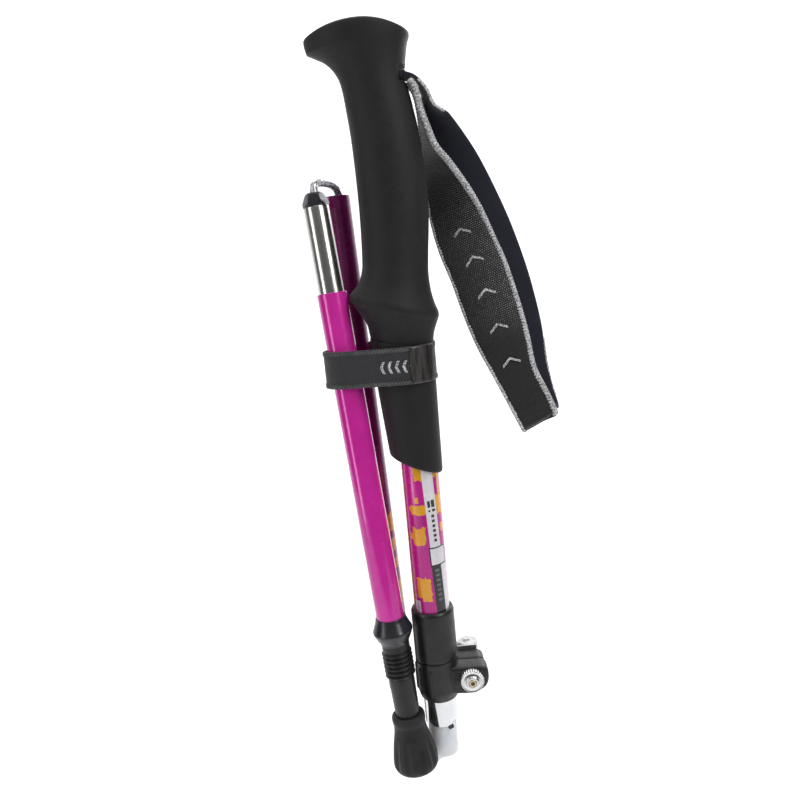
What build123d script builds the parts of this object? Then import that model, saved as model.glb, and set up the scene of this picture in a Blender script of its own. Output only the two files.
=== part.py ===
"""Three-section folding trekking pole, folded, with its wrist strap and bundle strap.

Millimetres. +Z runs up the handle tube. The origin is on the tube axis at the middle of the grip.
The beak of the grip points to -X and the strap hangs on the +X side.
"""
import math
import os
from build123d import *

# ---- standard stock -------------------------------------------------------
UPPER_OD = 18.0
UPPER_ID = 16.1
EXT_OD = 16.0
EXT_ID = 14.6
SECTION_OD = 14.0
SECTION_ID = 12.1
JOINT_OD = 12.0
JOINT_ID = 10.6
CABLE_D = 4.0
CABLE_HOLE_D = 5.0
RUN_GAP = 0.05  # radial clearance of parts that slide or turn on each other

# ---- handle section -------------------------------------------------------
GRIP_TOP_Z = 72.0
FLARE_Z = -53.0
NECK_Z = -69.0
SLEEVE_END_Z = -133.5
UPPER_TOP_Z = 36.0
UPPER_END_Z = -237.0
SLOT_Z = 48.5
SLOT_HEIGHT = 7.0
WEBBING_WIDTH = 20.0
NECK_WIDTH = 16.0  # the webbing is folded narrower where it enters the slot

# ---- clamp ----------------------------------------------------------------
CLAMP_TOP_Z = -204.7
CLAMP_GROOVE_Z = -230.5
CLAMP_END_Z = -254.0
CLAMP_OD = 22.0
EAR_REACH = 25.5
EAR_TOP_Z = -232.5
EAR_END_Z = -252.5
EAR_HALF_T = 9.0
BOLT_X = 16.6
BOLT_Z = -242.0
BOLT_D = 4.0
NUT_OD = 12.4
NUT_T = 3.4
PIN_D = 3.0
LEVER_Y = 14.6

# ---- extension and its end ------------------------------------------------
EXT_TOP_Z = 6.0
EXT_END_Z = -268.0
FERRULE_OD = 17.2
FERRULE_LENGTH = 14.2
SOCKET_END_Z = -286.7
SOCKET_OD = 14.8
SOCKET_DEPTH = 34.0

# ---- folded sections: where each axis passes, top and bottom --------------
MID_TOP = Vector(-28.71, 18.63, 1.3)
MID_LOW = Vector(-18.84, 12.2253, -275.0)
TIP_TOP = Vector(-37.26, 2.12, 2.5)
TIP_LOW = Vector(-15.04, -12.58, -286.0)
MID_TUBE_LENGTH = 256.7
JOINT_SHOWING = 39.5
JOINT_HELD = 20.0
CAP_LENGTH = 6.5
TIP_TUBE_LENGTH = 162.5
RING_OD = 20.0
RING_LENGTH = 9.0
NECK_OD = 13.8
NECK_LENGTH = 7.6
RIB_OD = 15.1
RIB_COUNT = 6
RIB_PITCH = 2.3
SHAFT_TOP_OD = 13.0
SHAFT_LOW_OD = 11.6
SHAFT_SHOWING = 21.0
SHAFT_HELD = 16.0
FOOT_TOP_OD = 16.9
FOOT_LOW_OD = 23.3
FOOT_LENGTH = 30.0
TIP_BIT_OD = 8.0
TIP_BIT_LENGTH = 7.0

# ---- straps ---------------------------------------------------------------
BUNDLE_WIDTH = 17.5
BUNDLE_T = 1.8
BUNDLE_TOP_Z = -70.0
STRAP_PIVOT_X = 12.6
STRAP_T = 2.2
PAD_WIDTH = 27.0
PAD_T = 4.0


def disc(d, z0, z1, x=0.0, y=0.0):
    """A plain cylinder on the z axis, or on a line beside it."""
    return Pos(x, y, (z0 + z1) / 2) * Cylinder(d / 2, abs(z1 - z0))


def pipe(od, bore, z0, z1, x=0.0, y=0.0):
    """A straight tube from z0 to z1."""
    low, high = min(z0, z1), max(z0, z1)
    return disc(od, low, high, x, y) - disc(bore, low - 1, high + 1, x, y)


def cone(d_low, d_high, z0, z1):
    """A cone from diameter d_low at z0 up to d_high at z1."""
    return Pos(0, 0, (z0 + z1) / 2) * Cone(d_low / 2, d_high / 2, z1 - z0)


def block(x0, x1, y0, y1, z0, z1):
    """A box given by its six limits."""
    size = (x1 - x0, y1 - y0, z1 - z0)
    return Pos((x0 + x1) / 2, (y0 + y1) / 2, (z0 + z1) / 2) * Box(*size)


def along(top, low):
    """The frame of a leaning section: origin at its top, +Z along the axis towards the top."""
    return Plane(origin=top, x_dir=(1, 0, 0), z_dir=top - low)


def placed(plane, shape):
    return plane.location * shape


def cable_along(points, radii):
    """The cable as straight runs joined by tangent arcs, one radius for each corner."""
    path = FilletPolyline(*points, radius=radii)
    profile = Plane(origin=points[0], z_dir=path % 0) * Circle(CABLE_D / 2)
    return sweep(profile, path=path)


def ring_section(cx, rx, ry, z, tilt=0.0):
    """One elliptical cross-section of the grip; tilt raises its front edge."""
    return Pos(cx, 0, z) * Rot(0, tilt, 0) * Ellipse(rx, ry)


# ---------------------------------------------------------------- handle ----
def make_grip():
    """The foam grip: shank, beaked head and finger flare in one moulding."""
    low_shank = ring_section(-3.0, 15.7, 14.0, FLARE_Z + 19, 3)
    neck = ring_section(-5.4, 14.8, 12.8, SLOT_Z)
    flare = [
        ring_section(-3.2, 14.9, 13.6, NECK_Z, 8),
        ring_section(-4.4, 18.6, 16.6, FLARE_Z - 8, 12),
        ring_section(-5.2, 20.9, 18.6, FLARE_Z, 14),
        ring_section(-4.2, 18.0, 16.0, FLARE_Z + 9, 10),
        low_shank,
    ]
    shank = [
        low_shank,
        ring_section(-1.4, 16.0, 13.6, -6),
        ring_section(-2.2, 15.5, 13.2, 20),
        neck,
    ]
    head = [
        neck,
        ring_section(-7.6, 17.6, 13.6, GRIP_TOP_Z - 16.5),
        ring_section(-10.4, 22.2, 14.6, GRIP_TOP_Z - 10.5),
        ring_section(-11.4, 23.8, 15.0, GRIP_TOP_Z - 6.5),
        ring_section(-10.9, 20.0, 13.4, GRIP_TOP_Z - 3),
        ring_section(-10.2, 12.5, 9.0, GRIP_TOP_Z - 0.4),
    ]
    shape = loft(flare, ruled=True) + loft(shank) + loft(head, ruled=True)
    shape -= disc(UPPER_OD, NECK_Z - 8, UPPER_TOP_Z)
    shape -= disc(CORE_OD, UPPER_TOP_Z, CORE_TOP_Z)
    half = NECK_WIDTH / 2 + 0.8
    shape -= block(0, 20, -half, half, SLOT_Z - SLOT_HEIGHT / 2, SLOT_Z + SLOT_HEIGHT / 2)
    return shape


CORE_OD = 17.6
CORE_TOP_Z = 62.0
PIN_X = 3.2


def make_core():
    """The hard insert in the head: it closes the tube and holds the strap pin."""
    core = disc(CORE_OD, UPPER_TOP_Z, CORE_TOP_Z) + disc(UPPER_ID, UPPER_TOP_Z - 14, UPPER_TOP_Z)
    half = NECK_WIDTH / 2 + 0.8
    core -= block(-5, 20, -half, half, SLOT_Z - SLOT_HEIGHT / 2, SLOT_Z + SLOT_HEIGHT / 2)
    core -= Pos(PIN_X, 0, SLOT_Z) * Rot(90, 0, 0) * Cylinder(PIN_D / 2, 40)
    return core


def make_strap_pin():
    length = 2 * math.sqrt((CORE_OD / 2) ** 2 - PIN_X**2) - 0.6
    return Pos(PIN_X, 0, SLOT_Z) * Rot(90, 0, 0) * Cylinder(PIN_D / 2, length)


def make_strap_anchor():
    """The end of the webbing: round the pin and out to the mouth of the slot."""
    half = NECK_WIDTH / 2
    eye = Pos(PIN_X, 0, SLOT_Z) * Rot(90, 0, 0) * Cylinder(PIN_D / 2 + 1.3, 2 * half)
    tail = block(PIN_X, STRAP_PIVOT_X - 2.4, -half, half, SLOT_Z - 1.8, SLOT_Z + 1.8)
    hole = Pos(PIN_X, 0, SLOT_Z) * Rot(90, 0, 0) * Cylinder(PIN_D / 2, 60)
    return eye + tail - hole


def make_strap_wedge():
    """The plug that locks the webbing, pushed in behind the pin."""
    half = 7.2
    high = SLOT_HEIGHT / 2 - 0.1
    wedge = block(-4.7, PIN_X - PIN_D / 2 - 1.5, -half, half, SLOT_Z - high, SLOT_Z + high)
    return wedge


def make_lower_foam():
    """The foam sleeve under the grip, cut off obliquely at its lower end."""
    top = NECK_Z - 0.3
    bottom = SLEEVE_END_Z - 6
    shape = loft(
        [
            ring_section(-3.2, 14.4, 13.6, top, 8),
            ring_section(-3.0, 14.0, 13.4, top - 18),
            ring_section(-2.2, 13.0, 13.0, top - 36),
            ring_section(-1.4, 12.6, 12.6, bottom),
        ]
    )
    cutter = Pos(-1.5, 0, SLEEVE_END_Z - 6.5) * Rot(0, 22, 0) * Box(60, 60, 20)
    shape -= cutter
    return shape - disc(UPPER_OD, bottom - 4, top + 12)


def make_upper_tube():
    return pipe(UPPER_OD, UPPER_ID, UPPER_END_Z, UPPER_TOP_Z)


# ----------------------------------------------------------------- clamp ----
def make_collar():
    """The clamp body: a fixed upper ring and a split lower band with the ear."""
    body = disc(CLAMP_OD, CLAMP_END_Z + 3, CLAMP_TOP_Z)
    body += cone(CLAMP_OD - 3.4, CLAMP_OD, CLAMP_END_Z, CLAMP_END_Z + 3)
    ear = block(4, EAR_REACH, -EAR_HALF_T, EAR_HALF_T, EAR_END_Z, EAR_TOP_Z)
    ear = fillet(ear.edges().filter_by(Axis.Y).group_by(Axis.X)[-1], 5.0)
    body += ear
    body -= disc(UPPER_OD, UPPER_END_Z, CLAMP_TOP_Z + 1)
    body -= disc(EXT_OD + 2 * RUN_GAP, CLAMP_END_Z - 1, UPPER_END_Z + 1)
    slit = block(4, EAR_REACH + 5, -0.8, 0.8, CLAMP_END_Z - 1, CLAMP_GROOVE_Z)
    groove = block(-6, 20, -20, 20, CLAMP_GROOVE_Z, CLAMP_GROOVE_Z + 0.9)
    body -= slit
    body -= groove & pipe(CLAMP_OD + 2, UPPER_OD + 1.6, CLAMP_GROOVE_Z - 2, CLAMP_GROOVE_Z + 2)
    bolt_hole = Pos(BOLT_X, 0, BOLT_Z) * Rot(90, 0, 0) * Cylinder(BOLT_D / 2 + 0.15, 40)
    return body - bolt_hole


def make_bolt():
    """The tension bolt: hex socket in front, an eye round the lever pin behind."""
    front = -(EAR_HALF_T + NUT_T + 1.5)
    rear = LEVER_Y - PIN_D / 2 - 0.6
    middle = (front + rear) / 2
    shank = Pos(BOLT_X, middle, BOLT_Z) * Rot(90, 0, 0) * Cylinder(BOLT_D / 2, rear - front)
    eye = Pos(BOLT_X, LEVER_Y, BOLT_Z) * Cylinder(PIN_D / 2 + 1.7, 5.0)
    bolt = shank + eye - disc(PIN_D, BOLT_Z - 5, BOLT_Z + 5, BOLT_X, LEVER_Y)
    socket = RegularPolygon(1.25, 6)
    recess = Plane(origin=(BOLT_X, front - 0.1, BOLT_Z), z_dir=(0, 1, 0)) * extrude(socket, 1.8)
    return bolt - recess


def make_nut():
    """The knurled adjusting nut."""
    face = -EAR_HALF_T - 0.3
    body = Pos(0, 0, 0) * Cylinder(NUT_OD / 2, NUT_T)
    boss = Pos(0, 0, NUT_T / 2) * Cylinder(3.4, 1.2)
    body += boss
    knurls = [
        Rot(0, 0, n * 12.0) * Pos(NUT_OD / 2 + 0.15, 0, 0) * Cylinder(0.42, NUT_T + 2)
        for n in range(30)
    ]
    body -= Compound(knurls)
    body -= Cylinder(BOLT_D / 2 + RUN_GAP, 3 * NUT_T)
    return Pos(BOLT_X, face - NUT_T / 2, BOLT_Z) * Rot(90, 0, 0) * body


def make_lever_pin():
    return disc(PIN_D, BOLT_Z - 9.4, BOLT_Z + 9.4, BOLT_X, LEVER_Y)


def make_wear_plate():
    """The steel plate that the cam bears on."""
    face = EAR_HALF_T + 0.1
    plate = block(BOLT_X - 5, BOLT_X + 5, face, face + 0.7, BOLT_Z - 8, BOLT_Z + 8)
    return plate - Pos(BOLT_X, 0, BOLT_Z) * Rot(90, 0, 0) * Cylinder(BOLT_D / 2 + 0.2, 40)


def make_lever():
    """The cam lever: a barrel on the pin and an arm that hugs the back of the collar."""
    high = BOLT_Z + 9.8
    low = BOLT_Z - 9.8
    barrel = disc(8.6, low, high, BOLT_X, LEVER_Y)
    inner = CLAMP_OD / 2 + 1.2
    band = pipe(2 * (inner + 2.6), 2 * inner, low + 1.5, high - 1.5)
    keep = block(-5.5, BOLT_X - 1, EAR_HALF_T + 1.2, 20, low, high)
    arm = band & keep
    bridge = block(6.0, BOLT_X, LEVER_Y - 2.5, LEVER_Y + 1.0, low + 1.5, high - 1.5)
    lever = barrel + arm + bridge
    lever -= disc(2 * inner, low, high)
    lever -= disc(PIN_D + 2 * RUN_GAP, low - 1, high + 1, BOLT_X, LEVER_Y)
    gap = block(BOLT_X - 4.6, BOLT_X + 6, 0, LEVER_Y + 4.4, BOLT_Z - 2.8, BOLT_Z + 2.8)
    return lever - gap


# ------------------------------------------------------------- extension ----
def make_extension_tube():
    return pipe(EXT_OD, EXT_ID, EXT_END_Z, EXT_TOP_Z)


def make_guide_bushing():
    """The nylon ring on top of the extension that runs inside the upper tube."""
    ring = disc(EXT_OD, EXT_TOP_Z, EXT_TOP_Z + 4) + disc(EXT_ID, EXT_TOP_Z - 10, EXT_TOP_Z)
    return ring - disc(9.0, EXT_TOP_Z - 20, EXT_TOP_Z + 10)


def make_ferrule():
    """The chromed ring round the lower end of the extension, notched along its edge."""
    end = EXT_END_Z - 0.4
    ring = pipe(FERRULE_OD, EXT_OD, end, end + FERRULE_LENGTH)
    for n in range(4):
        ring -= Rot(0, 0, 45 + 90 * n) * block(6, 12, -1.4, 1.4, end - 1, end + 1.9)
    return ring


def make_socket():
    """The white nylon socket that takes the joint of the middle section."""
    top = EXT_END_Z + SOCKET_DEPTH
    body = disc(EXT_ID, EXT_END_Z - 1, top) + disc(SOCKET_OD, SOCKET_END_Z, EXT_END_Z - 0.4)
    body -= disc(JOINT_OD + 2 * RUN_GAP, SOCKET_END_Z - 1, top + 1)
    mouth = cone(JOINT_OD + 1.6, JOINT_OD, SOCKET_END_Z - 0.01, SOCKET_END_Z + 1.2)
    return body - mouth


def make_key():
    """The small peg in one notch that stops the socket turning in the ring."""
    peg = block(SOCKET_OD / 2, FERRULE_OD / 2 + 0.5, -1.2, 1.2, EXT_END_Z - 2.0, EXT_END_Z - 0.4)
    return Rot(0, 0, -60) * peg


SEAT_Z = -186.0
SPRING_LENGTH = 46.0
SPRING_OD = 13.2
SPRING_WIRE = 1.4
ANCHOR_LENGTH = 12.0


def make_spring_seat():
    return pipe(EXT_ID, 6.0, SEAT_Z - 5, SEAT_Z)


def make_spring():
    """The compression spring under the cable anchor."""
    pitch = 5.2
    radius = (SPRING_OD - SPRING_WIRE) / 2
    run = SPRING_LENGTH - SPRING_WIRE - 0.2
    helix = Helix(pitch=pitch, height=run, radius=radius)
    profile = Plane(origin=helix @ 0, z_dir=helix % 0) * Circle(SPRING_WIRE / 2)
    coil = sweep(profile, path=helix, is_frenet=True)
    return Pos(0, 0, SEAT_Z + SPRING_WIRE / 2 + 0.1) * coil


def make_anchor():
    """The sliding puck on the spring; the cable hangs from it."""
    low = SEAT_Z + SPRING_LENGTH + 0.1
    body = disc(EXT_ID - 2 * RUN_GAP, low, low + ANCHOR_LENGTH)
    body -= disc(CABLE_D, low - 1, low + ANCHOR_LENGTH + 1)
    return body


def make_crimp():
    """The swaged end of the cable on top of the anchor."""
    low = SEAT_Z + SPRING_LENGTH + 0.1 + ANCHOR_LENGTH
    return pipe(8.0, CABLE_D, low, low + 9)


CABLE_LOW_Z = SOCKET_END_Z + 22.0


def make_upper_cable():
    high = SEAT_Z + SPRING_LENGTH + ANCHOR_LENGTH + 8.0
    return disc(CABLE_D, CABLE_LOW_Z, high)


# --------------------------------------------------------- folding joint ----
def make_joint_sleeve(tube_end, sign):
    """A stainless sleeve held in a tube end and standing out of it."""
    return pipe(JOINT_OD, JOINT_ID, tube_end - sign * JOINT_HELD, tube_end + sign * JOINT_SHOWING)


def make_joint_cap(end, sign):
    """The tapered plastic nose on a joint sleeve, bored for the cable."""
    nose = Cone(JOINT_OD / 2, 4.2, CAP_LENGTH)
    shape = Pos(0, 0, CAP_LENGTH / 2) * nose + disc(JOINT_ID, -5, 0)
    shape = fillet(shape.edges().sort_by(Axis.Z)[-1], 1.0)
    shape -= disc(CABLE_HOLE_D, -10, CAP_LENGTH + 5)
    return Pos(0, 0, end) * (Rot(0, 0, 0) if sign > 0 else Rot(180, 0, 0)) * shape


MID = along(MID_TOP, MID_LOW)
TIP = along(TIP_TOP, TIP_LOW)
MID_DOWN = (MID_LOW - MID_TOP).normalized()
TIP_DOWN = (TIP_LOW - TIP_TOP).normalized()


def make_mid_tube():
    return placed(MID, pipe(SECTION_OD, SECTION_ID, -MID_TUBE_LENGTH, 0))


def make_mid_joint():
    return placed(MID, make_joint_sleeve(-MID_TUBE_LENGTH, -1))


def make_mid_cap():
    return placed(MID, make_joint_cap(-MID_TUBE_LENGTH - JOINT_SHOWING, -1))


MID_TIP = MID_TUBE_LENGTH + JOINT_SHOWING + CAP_LENGTH


def make_mid_cable():
    low = -MID_TIP + CAP_LENGTH + JOINT_SHOWING + 2
    return placed(MID, disc(CABLE_D, low, -1.0))


def make_mid_guides():
    """A guide ring that keeps the cable central where the joint sleeve ends."""
    high = -MID_TUBE_LENGTH + JOINT_HELD + 6
    return placed(MID, pipe(SECTION_ID, CABLE_D + 0.3, high, high + 5))


LOWER_RADII = (9.0, 7.0, 5.2)


def make_lower_loop():
    """The cable from the socket round to the joint of the middle section."""
    tip = MID_TOP + MID_DOWN * MID_TIP
    inner = tip - MID_DOWN * (CAP_LENGTH + JOINT_SHOWING)
    route = [
        Vector(0, 0, CABLE_LOW_Z),
        Vector(0, 0, SOCKET_END_Z - 6.5),
        Vector(tip.X * 0.52, tip.Y * 0.52, tip.Z - 3.6),
        tip + MID_DOWN * 6.0,
        inner,
    ]
    return cable_along(route, LOWER_RADII)


# ------------------------------------------------------------ tip section ---
TIP_TUBE_TOP = -(CAP_LENGTH + JOINT_SHOWING)
TIP_TUBE_END = TIP_TUBE_TOP - TIP_TUBE_LENGTH
RING_END = TIP_TUBE_END - RING_LENGTH
NECK_END = RING_END - NECK_LENGTH
RIB_END = NECK_END - RIB_COUNT * RIB_PITCH
FOOT_TOP = RIB_END - SHAFT_SHOWING
FOOT_END = FOOT_TOP - FOOT_LENGTH
STEM_END = FOOT_TOP - SHAFT_HELD


def make_tip_cap():
    return placed(TIP, make_joint_cap(-CAP_LENGTH, 1))


def make_tip_joint():
    return placed(TIP, make_joint_sleeve(TIP_TUBE_TOP, 1))


def make_tip_tube():
    return placed(TIP, pipe(SECTION_OD, SECTION_ID, TIP_TUBE_END, TIP_TUBE_TOP))


def make_tip_cable():
    return placed(TIP, disc(CABLE_D, TIP_TUBE_END + 16, TIP_TUBE_TOP - 2))


def make_tip_crimp():
    """The swaged lower end of the cable, resting under its plug in the tip tube."""
    high = TIP_TUBE_END + 22
    return placed(TIP, pipe(SECTION_ID, CABLE_D, high - 9, high))


def make_ring():
    """The flared collar that covers the end of the tube."""
    flare = cone(RING_OD, SECTION_OD + 0.8, RING_END + 2.2, TIP_TUBE_END + 1.2)
    lip = cone(NECK_OD, RING_OD, RING_END - 0.6, RING_END + 2.2)
    shape = flare + lip
    shape -= disc(SECTION_OD, TIP_TUBE_END, TIP_TUBE_END + 4)
    shape -= disc(SECTION_ID, RING_END - 4, TIP_TUBE_END + 4)
    return placed(TIP, shape)


def make_stem():
    """The moulded tip: a spigot in the tube, a threaded neck and a tapered shaft."""
    spigot = disc(SECTION_ID, RING_END - 0.7, TIP_TUBE_END + 11)
    neck = disc(NECK_OD, RIB_END, RING_END - 0.7)
    shaft = cone(SHAFT_LOW_OD, SHAFT_TOP_OD, STEM_END, RIB_END)
    shape = spigot + neck + shaft
    for n in range(RIB_COUNT):
        z = NECK_END - RIB_PITCH * (n + 0.5)
        shape += cone(NECK_OD, RIB_OD, z - 0.8, z) + cone(RIB_OD, NECK_OD, z, z + 0.8)
    shape -= disc(4.0, STEM_END - 1, STEM_END + 10)
    return placed(TIP, shape)


def make_tip_bit():
    """The hard metal point under the rubber foot."""
    point = cone(4.6, TIP_BIT_OD, STEM_END - TIP_BIT_LENGTH, STEM_END - 0.1)
    shank = disc(4.0, STEM_END - 0.1, STEM_END + 9)
    return placed(TIP, point + shank)


def make_foot():
    """The rubber foot: a flared cup with flutes round it."""
    outer = cone(FOOT_LOW_OD, FOOT_TOP_OD, FOOT_END + 4.0, FOOT_TOP)
    outer += cone(FOOT_LOW_OD - 3.0, FOOT_LOW_OD, FOOT_END, FOOT_END + 4.0)
    gap = 2 * RUN_GAP
    taper = (SHAFT_TOP_OD - SHAFT_LOW_OD) / (RIB_END - STEM_END)
    rim = SHAFT_LOW_OD + taper * (FOOT_TOP - STEM_END) + gap
    outer -= cone(SHAFT_LOW_OD + gap, rim, STEM_END, FOOT_TOP)
    outer -= disc(rim, FOOT_TOP, FOOT_TOP + 5)
    outer -= cone(4.6 + gap, TIP_BIT_OD + gap, STEM_END - TIP_BIT_LENGTH - 0.1, STEM_END)
    for n in range(10):
        flute = Pos(FOOT_LOW_OD / 2 + 1.9, 0, FOOT_END + 12) * Rot(0, -8, 0) * Cylinder(2.6, 16)
        outer -= Rot(0, 0, 36 * n) * flute
    return placed(TIP, outer)


UPPER_RISE = 8.4
UPPER_RADII = (7.9, 7.9)


def make_upper_loop():
    """The cable from the nose of the tip section over into the middle section."""
    route = [
        TIP_TOP + TIP_DOWN * (CAP_LENGTH + JOINT_SHOWING),
        TIP_TOP - TIP_DOWN * UPPER_RISE,
        MID_TOP - MID_DOWN * UPPER_RISE,
        MID_TOP + MID_DOWN * 1.0,
    ]
    return cable_along(route, UPPER_RADII)


# ----------------------------------------------------------------- straps ---
def centre_at(top, down, z):
    """Where a leaning axis passes height z."""
    t = (z - top.Z) / down.Z
    return top + down * t


def make_bundle_strap():
    """The hook-and-loop strap: one turn round the foam, the middle and the tip section."""
    middle = BUNDLE_TOP_Z - BUNDLE_WIDTH / 2
    tip = centre_at(TIP_TOP, TIP_DOWN, middle)
    mid = centre_at(MID_TOP, MID_DOWN, middle)
    slack = 0.9

    def outline(extra):
        rings = [
            Pos(tip.X, tip.Y) * Circle(SECTION_OD / 2 + extra),
            Pos(mid.X, mid.Y) * Circle(SECTION_OD / 2 + extra),
            Pos(-3.0, 0) * Circle(14.5 + extra),
        ]
        edges = [e for r in rings for e in r.edges()]
        return make_hull(edges)

    band = outline(slack + BUNDLE_T) - outline(slack)
    return Pos(0, 0, BUNDLE_TOP_Z - BUNDLE_WIDTH) * extrude(band, amount=BUNDLE_WIDTH)


LEAN = (0.34, 0.0, -0.94)
BAND_DOWN = Vector(*LEAN).normalized()


def band(stations, thickness):
    """A flat strip through stations of centre, running direction, width direction and width."""
    faces = []
    for centre, run, wide, width in stations:
        plane = Plane(origin=centre, x_dir=wide, z_dir=run)
        faces.append(plane * Rectangle(width, thickness))
    return loft(faces, ruled=True)


ACROSS = Vector(-0.94, 0.0, -0.34)
TWISTING = Vector(-0.6, 0.72, -0.2)
HALF_TURNED = Vector(-0.26, 0.96, -0.05)
DEPTH = Vector(0.0, 1.0, 0.0)
BOTTOM = Vector(61.0, 0.0, -112.5)


def make_strap_webbing():
    """The thin back layer of the loop, from the slot down and round the bottom bend."""
    wide = WEBBING_WIDTH
    stations = [
        (Vector(13.6, 0, 50.3), Vector(0.9, 0, -0.45), DEPTH, NECK_WIDTH),
        (Vector(18.5, 2, 46.0), Vector(0.8, 0.2, -0.6), DEPTH, NECK_WIDTH + 2),
        (Vector(21.5, 7, 38.0), Vector(0.5, 0.5, -0.8), TWISTING, wide),
        (Vector(28.5, 17, 17.5), Vector(0.4, 0.3, -0.9), ACROSS, wide),
        (Vector(37.0, 21.5, -5.5), Vector(0.38, 0.1, -0.92), ACROSS, wide + 1),
        (Vector(45.0, 23, -28.0), BAND_DOWN, ACROSS, wide + 1),
        (Vector(51.5, 21, -52.0), Vector(0.22, -0.05, -0.97), ACROSS, wide + 1),
        (Vector(55.0, 18, -76.0), Vector(0.15, -0.15, -0.98), ACROSS, wide),
        (Vector(58.0, 15, -97.0), Vector(0.2, -0.15, -0.97), ACROSS, wide - 1),
        (BOTTOM + Vector(0.3, 11.5, 1.5), Vector(0.2, -0.6, -0.75), ACROSS, wide - 1),
        (BOTTOM + Vector(0.3, 7.0, -2.2), Vector(0, -1, 0), ACROSS, wide - 1),
        (BOTTOM + Vector(-1.0, 3.2, -0.2), Vector(-0.2, -0.8, 0.55), ACROSS, wide - 1),
    ]
    knuckle = Pos(STRAP_PIVOT_X + 0.4, 0, SLOT_Z) * Rot(90, 0, 0) * Cylinder(2.2, NECK_WIDTH)
    return band(stations, STRAP_T) + knuckle


def make_strap_pad():
    """The padded front layer of the loop, which lies on the wrist."""
    wide = PAD_WIDTH
    stations = [
        (Vector(14.4, 0, 45.4), Vector(0.35, 0.0, -0.94), DEPTH, NECK_WIDTH - 0.6),
        (Vector(16.6, 1.5, 34.0), Vector(0.2, 0.2, -0.96), DEPTH, NECK_WIDTH + 1),
        (Vector(19.0, 5.0, 21.0), Vector(0.18, 0.3, -0.94), HALF_TURNED, 19),
        (Vector(21.0, 9.5, 8.0), Vector(0.18, 0.3, -0.94), TWISTING, 20),
        (Vector(24.4, 12.5, -8.0), Vector(0.25, 0.1, -0.96), ACROSS, 22),
        (Vector(30.0, 13.5, -25.5), BAND_DOWN, ACROSS, wide - 1),
        (Vector(38.6, 9, -53.0), Vector(0.3, -0.1, -0.95), ACROSS, wide),
        (Vector(45.2, 6, -77.0), Vector(0.28, -0.1, -0.95), ACROSS, 22),
        (Vector(51.8, 3.5, -98.5), Vector(0.3, -0.1, -0.95), ACROSS, 20),
        (BOTTOM + Vector(-3.4, 1.2, 5.4), Vector(0.3, 0.0, -0.95), ACROSS, 18),
    ]
    return band(stations, PAD_T)


NODES = {
    "grip_foam": make_grip,
    "grip_core": make_core,
    "strap_pin": make_strap_pin,
    "strap_anchor": make_strap_anchor,
    "strap_wedge": make_strap_wedge,
    "lower_foam": make_lower_foam,
    "upper_tube": make_upper_tube,
    "clamp_collar": make_collar,
    "clamp_bolt": make_bolt,
    "clamp_nut": make_nut,
    "lever_pin": make_lever_pin,
    "wear_plate": make_wear_plate,
    "clamp_lever": make_lever,
    "extension_tube": make_extension_tube,
    "guide_bushing": make_guide_bushing,
    "ferrule": make_ferrule,
    "socket_sleeve": make_socket,
    "locating_key": make_key,
    "spring_seat": make_spring_seat,
    "tension_spring": make_spring,
    "cable_anchor": make_anchor,
    "cable_crimp": make_crimp,
    "upper_cable": make_upper_cable,
    "lower_loop": make_lower_loop,
    "mid_tube": make_mid_tube,
    "mid_joint_sleeve": make_mid_joint,
    "mid_joint_cap": make_mid_cap,
    "mid_cable": make_mid_cable,
    "mid_cable_guide": make_mid_guides,
    "upper_loop": make_upper_loop,
    "tip_joint_cap": make_tip_cap,
    "tip_joint_sleeve": make_tip_joint,
    "tip_tube": make_tip_tube,
    "tip_cable": make_tip_cable,
    "tip_crimp": make_tip_crimp,
    "tip_ring": make_ring,
    "tip_stem": make_stem,
    "tip_bit": make_tip_bit,
    "rubber_foot": make_foot,
    "bundle_strap": make_bundle_strap,
    "strap_webbing": make_strap_webbing,
    "strap_pad": make_strap_pad,
}

os.makedirs("parts", exist_ok=True)
for name, make in NODES.items():
    shape = make()
    solids = shape.solids()
    if len(solids) == 1:
        shape = solids[0]
    shape.label = name
    export_step(shape, f"parts/{name}.step")
    box = shape.bounding_box()
    print(name, len(solids), round(shape.volume, 1), box)
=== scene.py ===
"""Looks of the folded trekking pole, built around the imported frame.

Lengths are in millimetres and become metres where a mesh is made. The axes are the frame's:
+Z up the handle tube, -X towards the beak of the grip, +X towards the wrist strap.
"""
import math

import bmesh
import bpy
import numpy as np
from mathutils import Matrix, Vector


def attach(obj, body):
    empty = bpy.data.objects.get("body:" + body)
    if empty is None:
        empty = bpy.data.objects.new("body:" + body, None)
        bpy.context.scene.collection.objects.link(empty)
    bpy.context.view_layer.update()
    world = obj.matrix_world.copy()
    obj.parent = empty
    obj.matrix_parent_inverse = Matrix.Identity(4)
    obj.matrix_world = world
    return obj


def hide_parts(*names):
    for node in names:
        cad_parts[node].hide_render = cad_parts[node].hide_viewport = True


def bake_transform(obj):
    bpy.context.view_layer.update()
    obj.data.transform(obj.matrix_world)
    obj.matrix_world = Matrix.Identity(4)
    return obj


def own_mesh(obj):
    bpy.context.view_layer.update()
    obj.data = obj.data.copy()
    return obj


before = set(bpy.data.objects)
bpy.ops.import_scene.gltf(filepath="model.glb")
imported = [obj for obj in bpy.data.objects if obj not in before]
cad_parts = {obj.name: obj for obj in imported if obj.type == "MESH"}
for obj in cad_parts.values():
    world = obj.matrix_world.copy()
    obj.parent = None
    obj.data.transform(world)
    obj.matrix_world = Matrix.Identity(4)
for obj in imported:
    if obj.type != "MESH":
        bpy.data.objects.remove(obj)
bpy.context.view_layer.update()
MM = 0.001

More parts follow.
